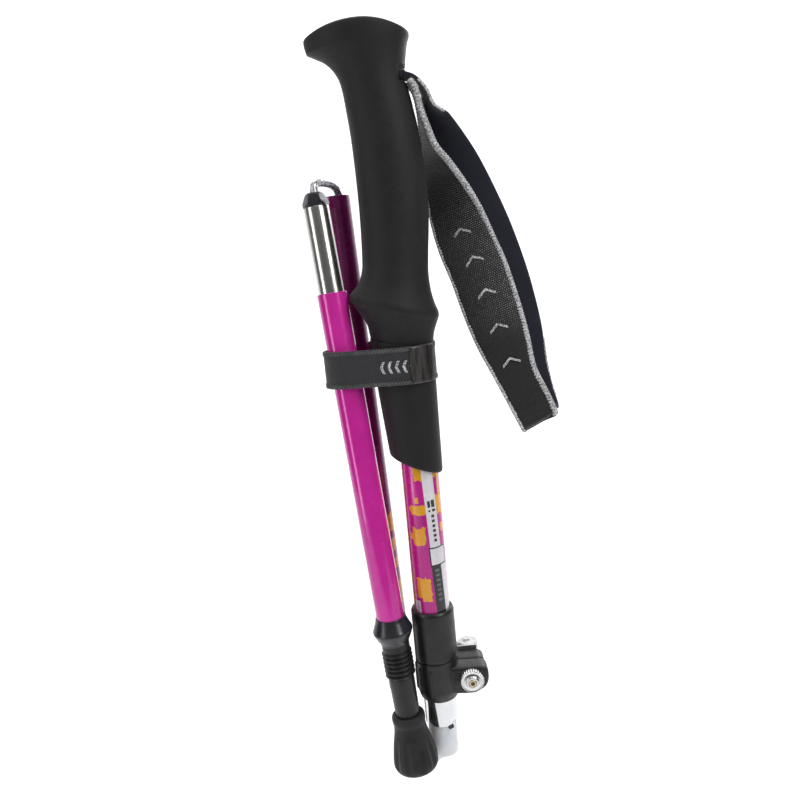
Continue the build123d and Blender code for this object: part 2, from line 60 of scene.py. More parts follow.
# ---- sizes shared with the frame -------------------------------------------
UPPER_R, UPPER_BORE = 9.0, 8.05
SECTION_R, SECTION_BORE = 7.0, 6.05
JOINT_R, JOINT_BORE = 6.0, 5.3
CABLE_R = 2.0
CABLE_HOLE_R = 2.5
UPPER_TOP, UPPER_END = 36.0, -237.0
SLOT_Z, SLOT_HALF_HEIGHT, SLOT_HALF_WIDTH = 48.5, 3.1, 9.2
CLAMP_TOP, CLAMP_GROOVE, CLAMP_END, CLAMP_R = -204.7, -230.5, -254.0, 11.0
EAR_REACH, EAR_TOP, EAR_END, EAR_HALF = 25.5, -232.5, -252.5, 9.0
BOLT_X, BOLT_Z, LEVER_Y = 16.6, -242.0, 14.6
EXT_R, EXT_END = 8.0, -268.0
FERRULE_R, FERRULE_TOP, FERRULE_END = 8.6, -254.2, -268.4
SOCKET_R, SOCKET_END = 7.4, -286.7
MID_TOP, MID_LOW = Vector((-28.71, 18.63, 1.3)), Vector((-18.84, 12.2253, -275.0))
TIP_TOP, TIP_LOW = Vector((-37.26, 2.12, 2.5)), Vector((-15.04, -12.58, -286.0))
CAP_LENGTH, JOINT_SHOWING, JOINT_HELD = 6.5, 39.5, 20.0
MID_TUBE_LENGTH = 256.7
TIP_TUBE_TOP = -(CAP_LENGTH + JOINT_SHOWING)
TIP_TUBE_END = TIP_TUBE_TOP - 162.5
RING_END = TIP_TUBE_END - 9.0
NECK_END = RING_END - 7.6
RIB_COUNT, RIB_PITCH = 6, 2.3
RIB_END = NECK_END - RIB_COUNT * RIB_PITCH
FOOT_TOP = RIB_END - 21.0
FOOT_END = FOOT_TOP - 30.0
STEM_END = FOOT_TOP - 16.0
BAND_TOP, BAND_WIDTH = -70.0, 17.5


# ------------------------------------------------------------------ camera ---
CAMERA_PLACE = (-0.0066, -0.345, -0.030)
LENS_MM, SENSOR_MM = 32.85, 36.0
LOOK_DOWN, ROLL = 11, -5.3


def make_camera():
    """The photograph's view: from in front, a little above, the pole leaning right."""
    down, roll = math.radians(LOOK_DOWN), math.radians(ROLL)
    forward = Vector((0, math.cos(down), -math.sin(down)))
    side, top = Vector((1, 0, 0)), Vector((0, math.sin(down), math.cos(down)))
    right = side * math.cos(roll) + top * math.sin(roll)
    up = top * math.cos(roll) - side * math.sin(roll)
    data = bpy.data.cameras.new("camera")
    data.sensor_width = SENSOR_MM
    data.lens = LENS_MM
    data.clip_start = 0.01
    camera = bpy.data.objects.new("camera", data)
    turn = Matrix((right, up, -forward)).transposed().to_4x4()
    camera.matrix_world = Matrix.Translation(CAMERA_PLACE) @ turn
    bpy.context.collection.objects.link(camera)
    bpy.context.scene.camera = camera


make_camera()


# --------------------------------------------------------------- materials ---
SHADER_INPUTS = {
    "metal": "Metallic", "rough": "Roughness", "coat": "Coat Weight", "coat_rough": "Coat Roughness",
    "sheen": "Sheen Weight", "sheen_rough": "Sheen Roughness", "specular": "Specular IOR Level",
    "skin": "Subsurface Weight", "color": "Base Color", "glow": "Emission Strength",
    "glow_color": "Emission Color",
}
NOISE_ROUGHNESS = 0.55


class Look:
    """One procedural material, built node by node."""

    def __init__(self, name, **settings):
        self.material = bpy.data.materials.new(name)
        self.material.use_nodes = True
        self.tree = self.material.node_tree
        self.shader = self.tree.nodes["Principled BSDF"]
        self.normal = None
        self.give(**settings)

    def give(self, **settings):
        """Sets inputs of the shader to numbers, colours or sockets."""
        for key, value in settings.items():
            self.feed(self.shader.inputs[SHADER_INPUTS[key]], value)
        return self

    def feed(self, socket, value):
        if isinstance(value, bpy.types.NodeSocket):
            self.tree.links.new(value, socket)
        elif isinstance(value, (tuple, list)) and socket.type == "RGBA":
            socket.default_value = (*value, 1.0)
        else:
            socket.default_value = value

    def node(self, kind, settings=(), **inputs):
        made = self.tree.nodes.new("ShaderNode" + kind)
        for key, value in dict(settings).items():
            setattr(made, key, value)
        for key, value in inputs.items():
            self.feed(made.inputs[key.replace("_", " ")], value)
        return made

    def math(self, operation, a, b=0.0):
        made = self.node("Math", {"operation": operation})
        for socket, value in zip(made.inputs, (a, b)):
            self.feed(socket, value)
        return made.outputs[0]

    def plus(self, a, b):
        return self.math("ADD", a, b)

    def minus(self, a, b):
        return self.math("SUBTRACT", a, b)

    def times(self, a, b):
        return self.math("MULTIPLY", a, b)

    def vector(self, operation, a, b):
        made = self.node("VectorMath", {"operation": operation})
        self.feed(made.inputs[0], a)
        self.feed(made.inputs[1], b)
        return made.outputs["Value" if operation == "DOT_PRODUCT" else "Vector"]

    def place(self):
        """Where a point is, in the frame, in metres."""
        return self.node("TexCoord").outputs["Object"]

    def lay(self):
        """Where a point is on a strap: across it and along it, in metres."""
        return self.node("UVMap", {"uv_map": "lay"}).outputs["UV"]

    def split(self, vector):
        return self.node("SeparateXYZ", Vector=vector).outputs

    def join(self, x, y):
        return self.node("CombineXYZ", X=x, Y=y).outputs[0]

    def local(self, origin, axes):
        """The place measured along a leaning section's own three axes."""
        offset = self.vector("SUBTRACT", self.place(), tuple(origin * MM))
        return [self.vector("DOT_PRODUCT", offset, tuple(axis)) for axis in axes]

    def noise(self, scale, detail=3.0, vector=None):
        vector = vector or self.place()
        made = self.node("TexNoise", Vector=vector, Scale=scale, Detail=detail, Roughness=NOISE_ROUGHNESS)
        return made.outputs["Fac"]

    def cells(self, scale):
        return self.node("TexVoronoi", {"feature": "F1"}, Vector=self.place(),
                         Scale=scale).outputs["Distance"]

    def between(self, value, low, high, out_low=0.0, out_high=1.0):
        made = self.node("MapRange", {"interpolation_type": "SMOOTHSTEP"})
        for socket, number in zip(made.inputs, (value, low, high, out_low, out_high)):
            self.feed(socket, number)
        return made.outputs[0]

    def mix(self, factor, a, b):
        made = self.node("Mix", {"data_type": "RGBA"})
        self.feed(made.inputs[0], factor)
        self.feed(made.inputs[6], a)
        self.feed(made.inputs[7], b)
        return made.outputs[2]

    def bump(self, height, depth, strength=1.0):
        """Raises the surface by height times depth, in millimetres."""
        made = self.node("Bump", Strength=strength, Distance=depth * MM, Height=height)
        if self.normal:
            self.feed(made.inputs["Normal"], self.normal)
        self.normal = made.outputs[0]
        self.tree.links.new(self.normal, self.shader.inputs["Normal"])
        return self


def foam_look():
    look = Look("eva_foam_look", sheen=0.04, sheen_rough=0.6, specular=0.26)
    mottle = look.noise(70, 4)
    grain = look.noise(2600, 2)
    tone = look.plus(look.times(mottle, 0.6), look.times(grain, 0.4))
    look.give(color=look.mix(look.between(tone, 0.3, 0.7), (0.0068, 0.0069, 0.0073),
                             (0.0120, 0.0122, 0.0130)))
    look.give(rough=look.between(mottle, 0.2, 0.8, 0.52, 0.66))
    look.bump(look.cells(1500), 0.10, 0.55).bump(grain, 0.09, 0.5).bump(look.noise(160, 3), 0.18, 0.5)
    return look.material


def plastic_look(name, dark, light, rough=0.36):
    """Moulded plastic: a fine orange-peel skin, faint flow marks and rubbed patches."""
    look = Look(name, specular=0.5)
    flow = look.noise(90, 5)
    look.give(color=look.mix(look.between(flow, 0.3, 0.75), dark, light))
    look.give(rough=look.between(look.noise(240, 4), 0.3, 0.75, rough - 0.05, rough + 0.10))
    look.bump(look.noise(1700, 2), 0.05, 0.6).bump(flow, 0.06, 0.5)
    return look.material


def steel_look(name, tone, rough, axes=None, origin=Vector(), grain=0.016, tint=(1.0, 1.0, 1.0)):
    """Drawn or brushed steel: fine lines along the part, a few deeper scratches."""
    look = Look(name, metal=1.0)
    x, y, z = look.local(origin, axes or (Vector((1, 0, 0)), Vector((0, 1, 0)), Vector((0, 0, 1))))
    angle = look.math("ARCTAN2", x, y)
    lines = look.noise(1.0, 3, look.join(look.times(angle, 46.0), look.times(z, 26.0)))
    fine = look.noise(1.0, 2, look.join(look.times(angle, 170.0), look.times(z, 60.0)))
    shade = look.plus(look.times(lines, 0.5), look.times(fine, 0.5))
    dark = tuple(0.86 * tone * c for c in tint)
    light = tuple(min(1.0, 1.12 * tone) * c for c in tint)
    look.give(color=look.mix(look.between(shade, 0.3, 0.7), dark, light))
    look.give(rough=look.between(shade, 0.3, 0.75, rough * 0.8, rough * 1.3))
    look.bump(fine, grain, 0.7)
    return look.material


def chrome_look():
    look = Look("chrome_look", metal=1.0)
    rough = 0.07
    haze = look.noise(350, 4)
    look.give(color=look.mix(look.between(haze, 0.35, 0.75), (0.78, 0.79, 0.81), (0.90, 0.90, 0.91)))
    scratch = look.noise(1.0, 2, look.vector("MULTIPLY", look.place(), (900.0, 900.0, 5200.0)))
    look.give(rough=look.between(look.times(haze, scratch), 0.1, 0.5, rough, rough + 0.09))
    look.bump(scratch, 0.004, 0.5)
    return look.material


def aluminium_look():
    look = Look("aluminium_look", metal=1.0)
    haze = look.noise(300, 4)
    look.give(color=look.mix(haze, (0.60, 0.61, 0.63), (0.78, 0.78, 0.80)))
    look.give(rough=look.between(haze, 0.3, 0.7, 0.22, 0.36))
    look.bump(look.noise(1800, 2), 0.01, 0.6)
    return look.material


def paint(look, color, gloss=0.2):
    """Clear-coated paint over metal: faint orange peel and a little dust."""
    dust = look.noise(520, 5)
    look.give(color=color, metal=0.12, coat=0.7, coat_rough=0.05, specular=0.4)
    look.give(rough=look.between(dust, 0.35, 0.8, gloss, gloss + 0.13))
    look.bump(look.noise(420, 2), 0.012, 0.5)
    return look.material


def speckled(look, low, high):
    """A paint colour with the soft unevenness of a sprayed coat."""
    return look.mix(look.between(look.noise(60, 5), 0.3, 0.75), low, high)


def inside(look, x, y, box):
    """One inside the box (x0, x1, y0, y1), in millimetres."""
    x0, x1, y0, y1 = (value * MM for value in box)
    far_x = look.minus(look.math("ABSOLUTE", look.minus(x, (x0 + x1) / 2)), (x1 - x0) / 2)
    far_y = look.minus(look.math("ABSOLUTE", look.minus(y, (y0 + y1) / 2)), (y1 - y0) / 2)
    return look.math("LESS_THAN", look.math("MAXIMUM", far_x, far_y), 0.0)


def patches(look, x, y, spots):
    """One inside any of the ragged islands (centre x, centre y, half width, half height), in millimetres."""
    ragged = look.times(look.minus(look.noise(330, 2), 0.5), 1.1)
    found = None
    for cx, cy, wide, high in spots:
        far_x = look.math("ABSOLUTE", look.times(look.minus(x, cx * MM), 1 / (wide * MM)))
        far_y = look.math("ABSOLUTE", look.times(look.minus(y, cy * MM), 1 / (high * MM)))
        far = look.math("MAXIMUM", far_x, far_y)
        found = far if found is None else look.math("MINIMUM", found, far)
    return look.math("LESS_THAN", look.plus(found, ragged), 1.0)


STRIPE_LEAN = 0.04
UPPER_SPOTS = [
    (-1.6, -131.5, 2.3, 4.4), (8.0, -131.5, 2.4, 3.6), (9.6, -140.0, 1.0, 8.0), (8.6, -149.0, 2.4, 5.0),
    (-2.6, -150.5, 4.2, 2.4), (-3.4, -145.6, 0.9, 1.5), (-3.6, -164.5, 3.3, 4.6), (-6.2, -164.0, 2.4, 1.6),
    (10.2, -161.0, 1.6, 2.2), (-3.4, -191.0, 3.9, 5.2), (-1.9, -196.0, 2.4, 2.2), (-13.2, -152.0, 2.2, 22.0),
    (-12.6, -192.0, 2.0, 14.0), (16.0, -141.0, 3.0, 6.0), (20.5, -164.0, 4.6, 5.0), (-20.0, -170.0, 4.2, 6.0),
    (26.0, -189.0, 3.6, 7.0), (-24.0, -140.0, 4.0, 5.0), (15.2, -196.0, 2.4, 3.4), (-19.0, -199.0, 3.0, 3.0),
]


def upper_tube_look():
    """Magenta tube with orange islands and a printed white and black stripe."""
    look = Look("painted_upper_look")
    x, y, z = look.split(look.place())
    round_x = look.times(look.math("ARCTAN2", x, look.times(y, -1.0)), UPPER_R * MM)
    across = look.plus(round_x, look.times(look.plus(z, 0.132), STRIPE_LEAN))
    color = speckled(look, (0.46, 0.010, 0.225), (0.58, 0.016, 0.290))
    orange = speckled(look, (0.74, 0.33, 0.012), (0.84, 0.42, 0.02))
    color = look.mix(patches(look, round_x, z, UPPER_SPOTS), color, orange)
    white = speckled(look, (0.72, 0.68, 0.73), (0.84, 0.81, 0.85))
    ink = speckled(look, (0.012, 0.011, 0.013), (0.025, 0.024, 0.026))
    marks = [
        (white, (0.0, 5.9, -172.0, -100.0)), (white, (4.6, 9.0, -215.0, -177.0)),
        (ink, (-0.7, 4.7, -215.0, -176.0)), (ink, (-1.0, 9.0, -180.0, -170.2)),
        (white, (-0.3, 8.3, -179.3, -170.9)), (white, (-12.4, -8.8, -208.0, -198.4)),
        (ink, (1.2, 2.6, -149.6, -146.2)), (ink, (3.1, 5.0, -149.6, -145.9)),
        (ink, (1.4, 2.4, -151.9, -150.8)), (ink, (3.3, 5.1, -151.9, -150.6)),
    ]
    for n in range(6):
        marks.append((ink, (2.5, 4.1, -154.9 - 2.5 * n, -153.4 - 2.5 * n)))
    grey = speckled(look, (0.10, 0.10, 0.11), (0.17, 0.17, 0.18))
    for n in range(7):
        marks.append((grey, (1.0, 3.2, -183.0 - 2.6 * n, -181.6 - 2.6 * n)))
    for tone, box in marks:
        color = look.mix(inside(look, across, z, box), color, tone)
    return paint(look, color)


def middle_tube_look(origin, axes):
    """Dark magenta tube with orange islands towards its lower end."""
    look = Look("painted_middle_look")
    x, y, z = look.local(origin, axes)
    round_x = look.times(look.math("ARCTAN2", x, look.times(y, -1.0)), SECTION_R * MM)
    color = speckled(look, (0.19, 0.006, 0.105), (0.27, 0.010, 0.150))
    orange = speckled(look, (0.58, 0.25, 0.012), (0.70, 0.33, 0.02))
    spots = [
        (7.6, -164.0, 3.2, 5.0), (6.0, -176.0, 2.2, 3.4), (8.2, -186.0, 3.4, 2.6), (6.4, -203.0, 3.0, 7.5),
        (-4.0, -181.0, 4.0, 4.4), (-9.0, -206.0, 3.4, 5.2), (0.5, -224.0, 4.2, 4.4), (14.0, -221.0, 4.0, 5.0),
        (-14.0, -232.0, 4.4, 4.0), (17.0, -180.0, 3.6, 5.4), (-18.0, -168.0, 3.0, 4.4),
        (3.0, -247.0, 3.4, 3.0),
    ]
    return paint(look, look.mix(patches(look, round_x, z, spots), color, orange))


def tip_tube_look():
    look = Look("painted_tip_look")
    return paint(look, speckled(look, (0.60, 0.020, 0.32), (0.70, 0.028, 0.385)), gloss=0.16)


def rubber_look():
    look = Look("foot_rubber_look", specular=0.3, sheen=0.05)
    dirt = look.noise(120, 5)
    look.give(color=look.mix(look.between(dirt, 0.3, 0.75), (0.0125, 0.0125, 0.0135),
                             (0.0235, 0.0235, 0.025)))
    look.give(rough=look.between(dirt, 0.3, 0.7, 0.46, 0.68))
    look.bump(look.noise(2100, 3), 0.06, 0.7).bump(look.noise(300, 3), 0.08, 0.5)
    return look.material


def cable_look():
    """Steel strands under a clear coat."""
    look = Look("cable_look", metal=0.75, coat=1.0, coat_rough=0.03)
    tone = look.noise(500, 3)
    look.give(color=look.mix(look.between(tone, 0.3, 0.7), (0.30, 0.31, 0.33), (0.62, 0.63, 0.65)))
    look.give(rough=look.between(tone, 0.3, 0.7, 0.22, 0.38))
    return look.material


def weave_look(name, dark, light, pitch=0.9, depth=0.16, sheen=0.25, twill=0.0):
    """Plain or twill webbing: warp over weft, in the strap's own lay."""
    rough = 0.78
    look = Look(name, sheen=sheen, sheen_rough=0.45, specular=0.25)
    x, y = look.split(look.lay())[:2]
    turn = 2 * math.pi / (pitch * MM)
    warp_phase = look.plus(look.times(x, turn), look.times(y, turn * twill))
    warp = look.math("SINE", warp_phase)
    weft = look.math("SINE", look.times(y, turn))
    crossed = look.times(warp, weft)
    height = look.between(crossed if not twill else warp, -1.0, 1.0)
    fuzz = look.noise(1900, 3)
    tone = look.plus(look.times(height, 0.6), look.times(fuzz, 0.5))
    look.give(color=look.mix(look.between(tone, 0.25, 0.9), dark, light))
    look.give(rough=look.between(fuzz, 0.3, 0.7, rough - 0.08, rough + 0.08))
    look.bump(height, depth, 0.9).bump(fuzz, 0.05, 0.5)
    return look.material


def mesh_look():
    """Open spacer mesh over a pale lining: small dots in staggered rows."""
    look = Look("pad_mesh_look", sheen=0.2, sheen_rough=0.5, specular=0.3)
    x, y = look.split(look.lay())[:2]
    pitch = 1.15 * MM
    row = look.math("FLOOR", look.times(y, 1 / (0.87 * pitch)))
    shift = look.times(look.math("MODULO", row, 2.0), 0.5)
    cell_x = look.minus(look.math("FRACT", look.plus(look.times(x, 1 / pitch), shift)), 0.5)
    cell_y = look.minus(look.math("FRACT", look.times(y, 1 / (0.87 * pitch))), 0.5)
    far = look.math("SQRT", look.plus(look.math("POWER", cell_x, 2.0), look.math("POWER", cell_y, 2.0)))
    hole = look.between(far, 0.17, 0.29, 1.0, 0.0)
    low = look.times(look.between(y, 0.112, 0.130, 1.0, 0.0), look.between(y, 0.040, 0.066))
    low = look.times(low, look.between(x, -0.012, 0.009, 1.0, 0.35))
    sparkle = look.between(look.noise(700, 2), 0.35, 0.65, 0.25, 1.0)
    hole = look.times(look.times(hole, low), sparkle)
    ribs = look.between(look.math("SINE", look.times(y, 2 * math.pi / (1.0 * MM))), -1.0, 1.0)
    fuzz = look.noise(1500, 3)
    base = look.mix(look.between(fuzz, 0.3, 0.7), (0.0075, 0.0072, 0.0075), (0.0175, 0.0170, 0.0175))
    look.give(color=look.mix(hole, base, (0.34, 0.34, 0.36)))
    look.give(rough=look.between(fuzz, 0.3, 0.7, 0.6, 0.8))
    look.bump(look.minus(ribs, hole), 0.18, 0.8).bump(fuzz, 0.05, 0.5)
    return look.material


def braid_look():
    """Silver reflective yarn."""
    dark, light = (0.15, 0.15, 0.155), (0.66, 0.66, 0.67)
    look = Look("braid_look", metal=0.25, sheen=0.3, sheen_rough=0.4)
    yarn = look.noise(1500, 3)
    look.give(color=look.mix(look.between(yarn, 0.36, 0.62), dark, light))
    look.give(rough=look.between(yarn, 0.3, 0.7, 0.36, 0.6))
    look.bump(yarn, 0.10, 0.8)
    return look.material


def lining_look(name, low, high, rough=0.5):
    """A plain moulded or printed surface with slight unevenness."""
    look = Look(name)
    tone = look.noise(220, 4)
    look.give(color=look.mix(look.between(tone, 0.3, 0.7), low, high))
    look.give(rough=look.between(tone, 0.3, 0.7, rough - 0.07, rough + 0.07))
    look.bump(look.noise(1300, 2), 0.03, 0.5)
    return look.material


# ------------------------------------------------------------ mesh helpers ---
def section_axes(top, low):
    """The three axes of a leaning section: across, across and up its length."""
    up = (top - low).normalized()
    across = (Vector((1, 0, 0)) - up * up.x).normalized()
    return across, up.cross(across), up


UPRIGHT = (Vector((1, 0, 0)), Vector((0, 1, 0)), Vector((0, 0, 1)))
MID_AXES = section_axes(MID_TOP, MID_LOW)
TIP_AXES = section_axes(TIP_TOP, TIP_LOW)
MID_DOWN, TIP_DOWN = -MID_AXES[2], -TIP_AXES[2]
MID_CAP_END = MID_TOP + MID_DOWN * (MID_TUBE_LENGTH + JOINT_SHOWING + CAP_LENGTH)


def settle(obj, body, slot, *nodes):
    """Puts a piece on its body and hides the frame nodes it stands for."""
    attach(obj, body)
    if nodes:
        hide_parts(*nodes)
    return obj


def new_object(name, vertices, faces, material, uv=None, sharp=38.0):
    """A smooth-shaded mesh from millimetre points; uv holds one pair for each face corner."""
    mesh = bpy.data.meshes.new(name)
    mesh.from_pydata((np.asarray(vertices, float) * MM).tolist(), [], faces)
    if uv is not None:
        layer = mesh.uv_layers.new(name="lay")
        layer.data.foreach_set("uv", np.asarray(uv, float).ravel() * MM)
    work = bmesh.new()
    work.from_mesh(mesh)
    bmesh.ops.recalc_face_normals(work, faces=work.faces)
    work.to_mesh(mesh)
    work.free()
    mesh.materials.append(material)
    mesh.shade_smooth()
    mesh.set_sharp_from_angle(angle=math.radians(sharp))
    obj = bpy.data.objects.new(name, mesh)
    bpy.context.collection.objects.link(obj)
    return obj


def skin(name, rows, material, ring=False, uv=None, sharp=38.0):
    """A surface over rows of points that each run all the way round; ring joins the last row to the first."""
    rows = np.asarray(rows, float)
    count, around = rows.shape[:2]
    faces = []
    corners = []
    for i in range(count if ring else count - 1):
        below = (i + 1) % count
        for j in range(around):
            beside = (j + 1) % around
            faces.append((i * around + j, i * around + beside, below * around + beside, below * around + j))
            if uv is not None:
                corners += [uv[i][j], uv[i][j + 1], uv[below][j + 1], uv[below][j]]
    if not ring:
        for start in (0, (count - 1) * around):
            faces.append(tuple(range(start, start + around)))
            if uv is not None:
                corners += [uv[start // around][j] for j in range(around)]
    return new_object(name, rows.reshape(-1, 3), faces, material, corners or None, sharp)


def rounded(outline, radius, closed, steps=4):
    """An outline with its corners rounded, and a holding point each side of each corner."""
    points = [np.array(point[:2], float) for point in outline]
    own = [point[2] if len(point) > 2 else radius for point in outline]
    result = []
    count = len(points)
    for i, corner in enumerate(points):
        if not closed and i in (0, count - 1):
            result.append(corner)
            continue
        before, after = points[i - 1] - corner, points[(i + 1) % count] - corner
        reach = [min(own[i], 0.45 * np.linalg.norm(side)) for side in (before, after)]
        a, b = (corner + side / max(np.linalg.norm(side), 1e-9) * r for side,
                r in zip((before, after), reach))
        hold = 1.05
        result.append(corner + (a - corner) * hold)
        for t in np.linspace(0, 1, steps + 1):
            result.append((1 - t) ** 2 * a + 2 * t * (1 - t) * corner + t * t * b)
        result.append(corner + (b - corner) * hold)
    return result


def turned(name, outline, material, origin=Vector(), axes=UPRIGHT, closed=True, shape=None, soft=0.35,
           segments=96, sharp=38.0):
    """A turned piece: its outline (radius, height) goes round the axis; shape(angles, r, z) may vary it."""
    angles = turns(segments)
    basis = np.array([list(axis) for axis in axes])
    rows = []
    for r, z in rounded(outline, soft, closed):
        radii, heights = np.full(segments, r), np.full(segments, z)
        if shape:
            radii, heights = shape(angles, radii, heights)
        flat = np.stack([radii * np.cos(angles), radii * np.sin(angles), heights], axis=1)
        rows.append(flat @ basis + np.array(list(origin)))
    return skin(name, rows, material, ring=closed, sharp=sharp)


def smooth_rows(stations, steps):
    """Rows of numbers interpolated smoothly (Catmull-Rom)."""
    data = np.array(stations, float)
    data = np.vstack([2 * data[0] - data[1], data, 2 * data[-1] - data[-2]])
    rows = []
    for i in range(1, len(data) - 2):
        p0, p1, p2, p3 = data[i - 1 : i + 3]
        for t in np.linspace(0, 1, steps, endpoint=False):
            square = 2 * p0 - 5 * p1 + 4 * p2 - p3
            cubic = 3 * p1 - p0 - 3 * p2 + p3
            rows.append(p1 + 0.5 * t * (p2 - p0 + t * (square + t * cubic)))
    rows.append(data[-2])
    return np.array(rows)


def unit(vectors):
    return vectors / np.maximum(np.linalg.norm(vectors, axis=-1, keepdims=True), 1e-9)


def run_length(path):
    """The length gone at each point of a path."""
    return np.concatenate([[0], np.cumsum(np.linalg.norm(np.diff(path, axis=0), axis=1))])


def evenly(path, count, closed=False):
    """Points at even distances along a path; a closed one leaves out its last point."""
    gone = run_length(path)
    even = np.linspace(0, gone[-1], count, endpoint=not closed)
    return np.stack([np.interp(even, gone, path[:, k]) for k in range(path.shape[1])], axis=1)


def turns(count):
    """Even angles once round a circle."""
    return np.linspace(0, 2 * math.pi, count, endpoint=False)


def hexagonal(angles):
    """A hexagon's radius at each angle, as a share of its corner's."""
    return math.cos(math.pi / 6) / np.cos((angles % (math.pi / 3)) - math.pi / 6)


def power(values, exponent):
    return np.sign(values) * np.abs(values) ** exponent


def tube_along(name, path, radius, material, braid=None, around=20):
    """A round cord along a path; braid(angles, length along it) scales its radius."""
    path = np.asarray(path, float)
    run = unit(np.gradient(path, axis=0))
    side = unit(np.cross(run[0], [0.31, 0.2, 0.93]))
    angles = turns(around)
    length = run_length(path)
    rows = []
    for point, direction, gone in zip(path, run, length):
        side = unit(side - direction * np.dot(side, direction))
        other = np.cross(direction, side)
        r = radius * (braid(angles, gone) if braid else np.ones(around))
        rows.append(point + np.outer(r * np.cos(angles), side) + np.outer(r * np.sin(angles), other))
    return skin(name, rows, material, sharp=80.0)


def joined(name, parts):
    """Several new objects made one."""
    bpy.ops.object.select_all(action="DESELECT")
    for part in parts:
        part.select_set(True)
    bpy.context.view_layer.objects.active = parts[0]
    bpy.ops.object.join()
    parts[0].name = name
    parts[0].data.name = name
    return parts[0]


# -------------------------------------------------------------------- grip ---
FOAM = foam_look()
# height, front x, rear x, half width, slope (rise per mm towards the front), squareness
GRIP_STATIONS = [
    (-69.4, -17.4, 11.4, 13.4, 0.20, 2.0),
    (-68.2, -17.9, 11.7, 13.7, 0.21, 2.0),
    (-62.5, -19.0, 12.4, 14.6, 0.23, 2.0),
    (-56.0, -23.4, 14.4, 17.0, 0.25, 2.0),
    (-53.0, -25.6, 15.3, 18.5, 0.25, 2.0),
    (-50.8, -25.9, 15.2, 18.6, 0.25, 2.0),
    (-47.6, -23.8, 13.8, 17.4, 0.23, 2.0),
    (-43.0, -20.9, 12.6, 15.9, 0.18, 2.0),
    (-37.0, -19.0, 12.1, 14.9, 0.10, 2.0),
    (-29.0, -18.0, 12.7, 14.3, 0.04, 2.0),
    (-6.0, -17.2, 14.7, 13.8, 0.0, 2.1),
    (20.0, -17.6, 13.4, 13.3, 0.0, 2.1),
    (35.0, -18.6, 11.3, 12.9, 0.0, 2.1),
    (46.5, -19.9, 9.2, 12.8, 0.0, 2.1),
    (52.5, -22.3, 9.3, 13.1, 0.0, 2.15),
    (56.6, -26.0, 9.9, 13.8, 0.0, 2.2),
    (59.6, -30.2, 10.6, 14.6, -0.03, 2.25),
    (61.7, -33.6, 11.3, 15.2, -0.05, 2.3),
]
CREST_X, CREST_Z = -9.8, 72.4


def crown(x, y, rim):
    """Height of the domed top; rim 0 is the middle and 1 the edge."""
    drop = np.where(x < CREST_X, 0.0091 * (x - CREST_X) ** 2, 0.0135 * (x - CREST_X) ** 2)
    return CREST_Z - drop - 0.0085 * y**2 - 0.6 * rim**6


def make_grip():
    around = 168
    angles = turns(around)
    rows = []

    def outline(front, rear, half, squareness):
        centre, reach = (front + rear) / 2, (rear - front) / 2
        x = centre + reach * power(np.cos(angles), 2 / squareness)
        y = half * power(np.sin(angles), 2 / squareness)
        return x, y, centre, reach

    for z, front, rear, half, slope, squareness in smooth_rows(GRIP_STATIONS, 12):
        x, y, centre, reach = outline(front, rear, half, squareness)
        narrow = np.clip((centre - x) / reach, 0, 1) ** 2 * np.clip((z - 44) / 18, 0, 1) * 0.42
        rows.append(np.stack([x, y * (1 - narrow), z - slope * (x - centre)], axis=1))
    edge = rows[-1].copy()
    lift = crown(edge[:, 0], edge[:, 1], 1.0) - edge[:, 2]
    out = [(0.25, 0.5), (0.5, 0.85), (0.72, 1.0), (0.88, 0.98), (0.96, 0.62), (1.0, 0.0)]
    for share, bulge in out:
        row = edge.copy()
        centre = np.array([CREST_X, 0.0])
        row[:, :2] = centre + (edge[:, :2] - centre) * (1 + 0.035 * bulge)
        row[:, 2] = edge[:, 2] + lift * share
        rows.append(row)
    for scale in (0.965, 0.93, 0.88, 0.8, 0.68, 0.54, 0.4, 0.26, 0.12, 0.04):
        row = edge.copy()
        row[:, 0] = CREST_X + (edge[:, 0] - CREST_X) * scale
        row[:, 1] = edge[:, 1] * scale
        row[:, 2] = crown(row[:, 0], row[:, 1], scale)
        rows.append(row)
    rows = np.array(rows)
    low = (rows[:, :, 2] - SLOT_Z) / SLOT_HALF_HEIGHT
    wide = rows[:, :, 1] / SLOT_HALF_WIDTH
    edge_of = np.maximum(np.abs(low), np.abs(wide) * 0.98)
    depth = 4.2 * np.clip((1.06 - edge_of) / 0.14, 0, 1) * (rows[:, :, 0] > 0)
    rows[:, :, 0] -= np.minimum(depth, np.maximum(rows[:, :, 0] - 5.6, 0))
    return skin("grip_foam_look", rows, FOAM, sharp=70.0)


def make_lower_foam():
    """The sleeve below the grip, its lower end cut off obliquely with a worn edge."""
    around = 120
    angles = turns(around)
    stations = [
        (-69.9, -17.6, 11.2, 13.2, 0.20), (-71.5, -18.1, 11.6, 13.6, 0.20), (-90.0, -17.0, 11.5, 13.3, 0.22),
        (-108.0, -15.6, 11.3, 12.8, 0.32), (-122.0, -14.4, 11.2, 12.5, 0.40),
        (-127.4, -13.9, 11.1, 12.3, 0.42),
        (-128.7, -13.3, 10.5, 11.8, 0.43), (-129.2, -11.9, 9.6, 10.6, 0.43), (-129.1, -10.2, 9.15, 9.3, 0.43),
    ]
    rows = []
    for z, front, rear, half, slope in smooth_rows(stations, 8):
        centre, reach = (front + rear) / 2, (rear - front) / 2
        x = centre + reach * np.cos(angles)
        y = half * np.sin(angles)
        rows.append(np.stack([x, y, z - slope * (x + 1.4)], axis=1))
    return skin("lower_foam_look", rows, FOAM, sharp=70.0)


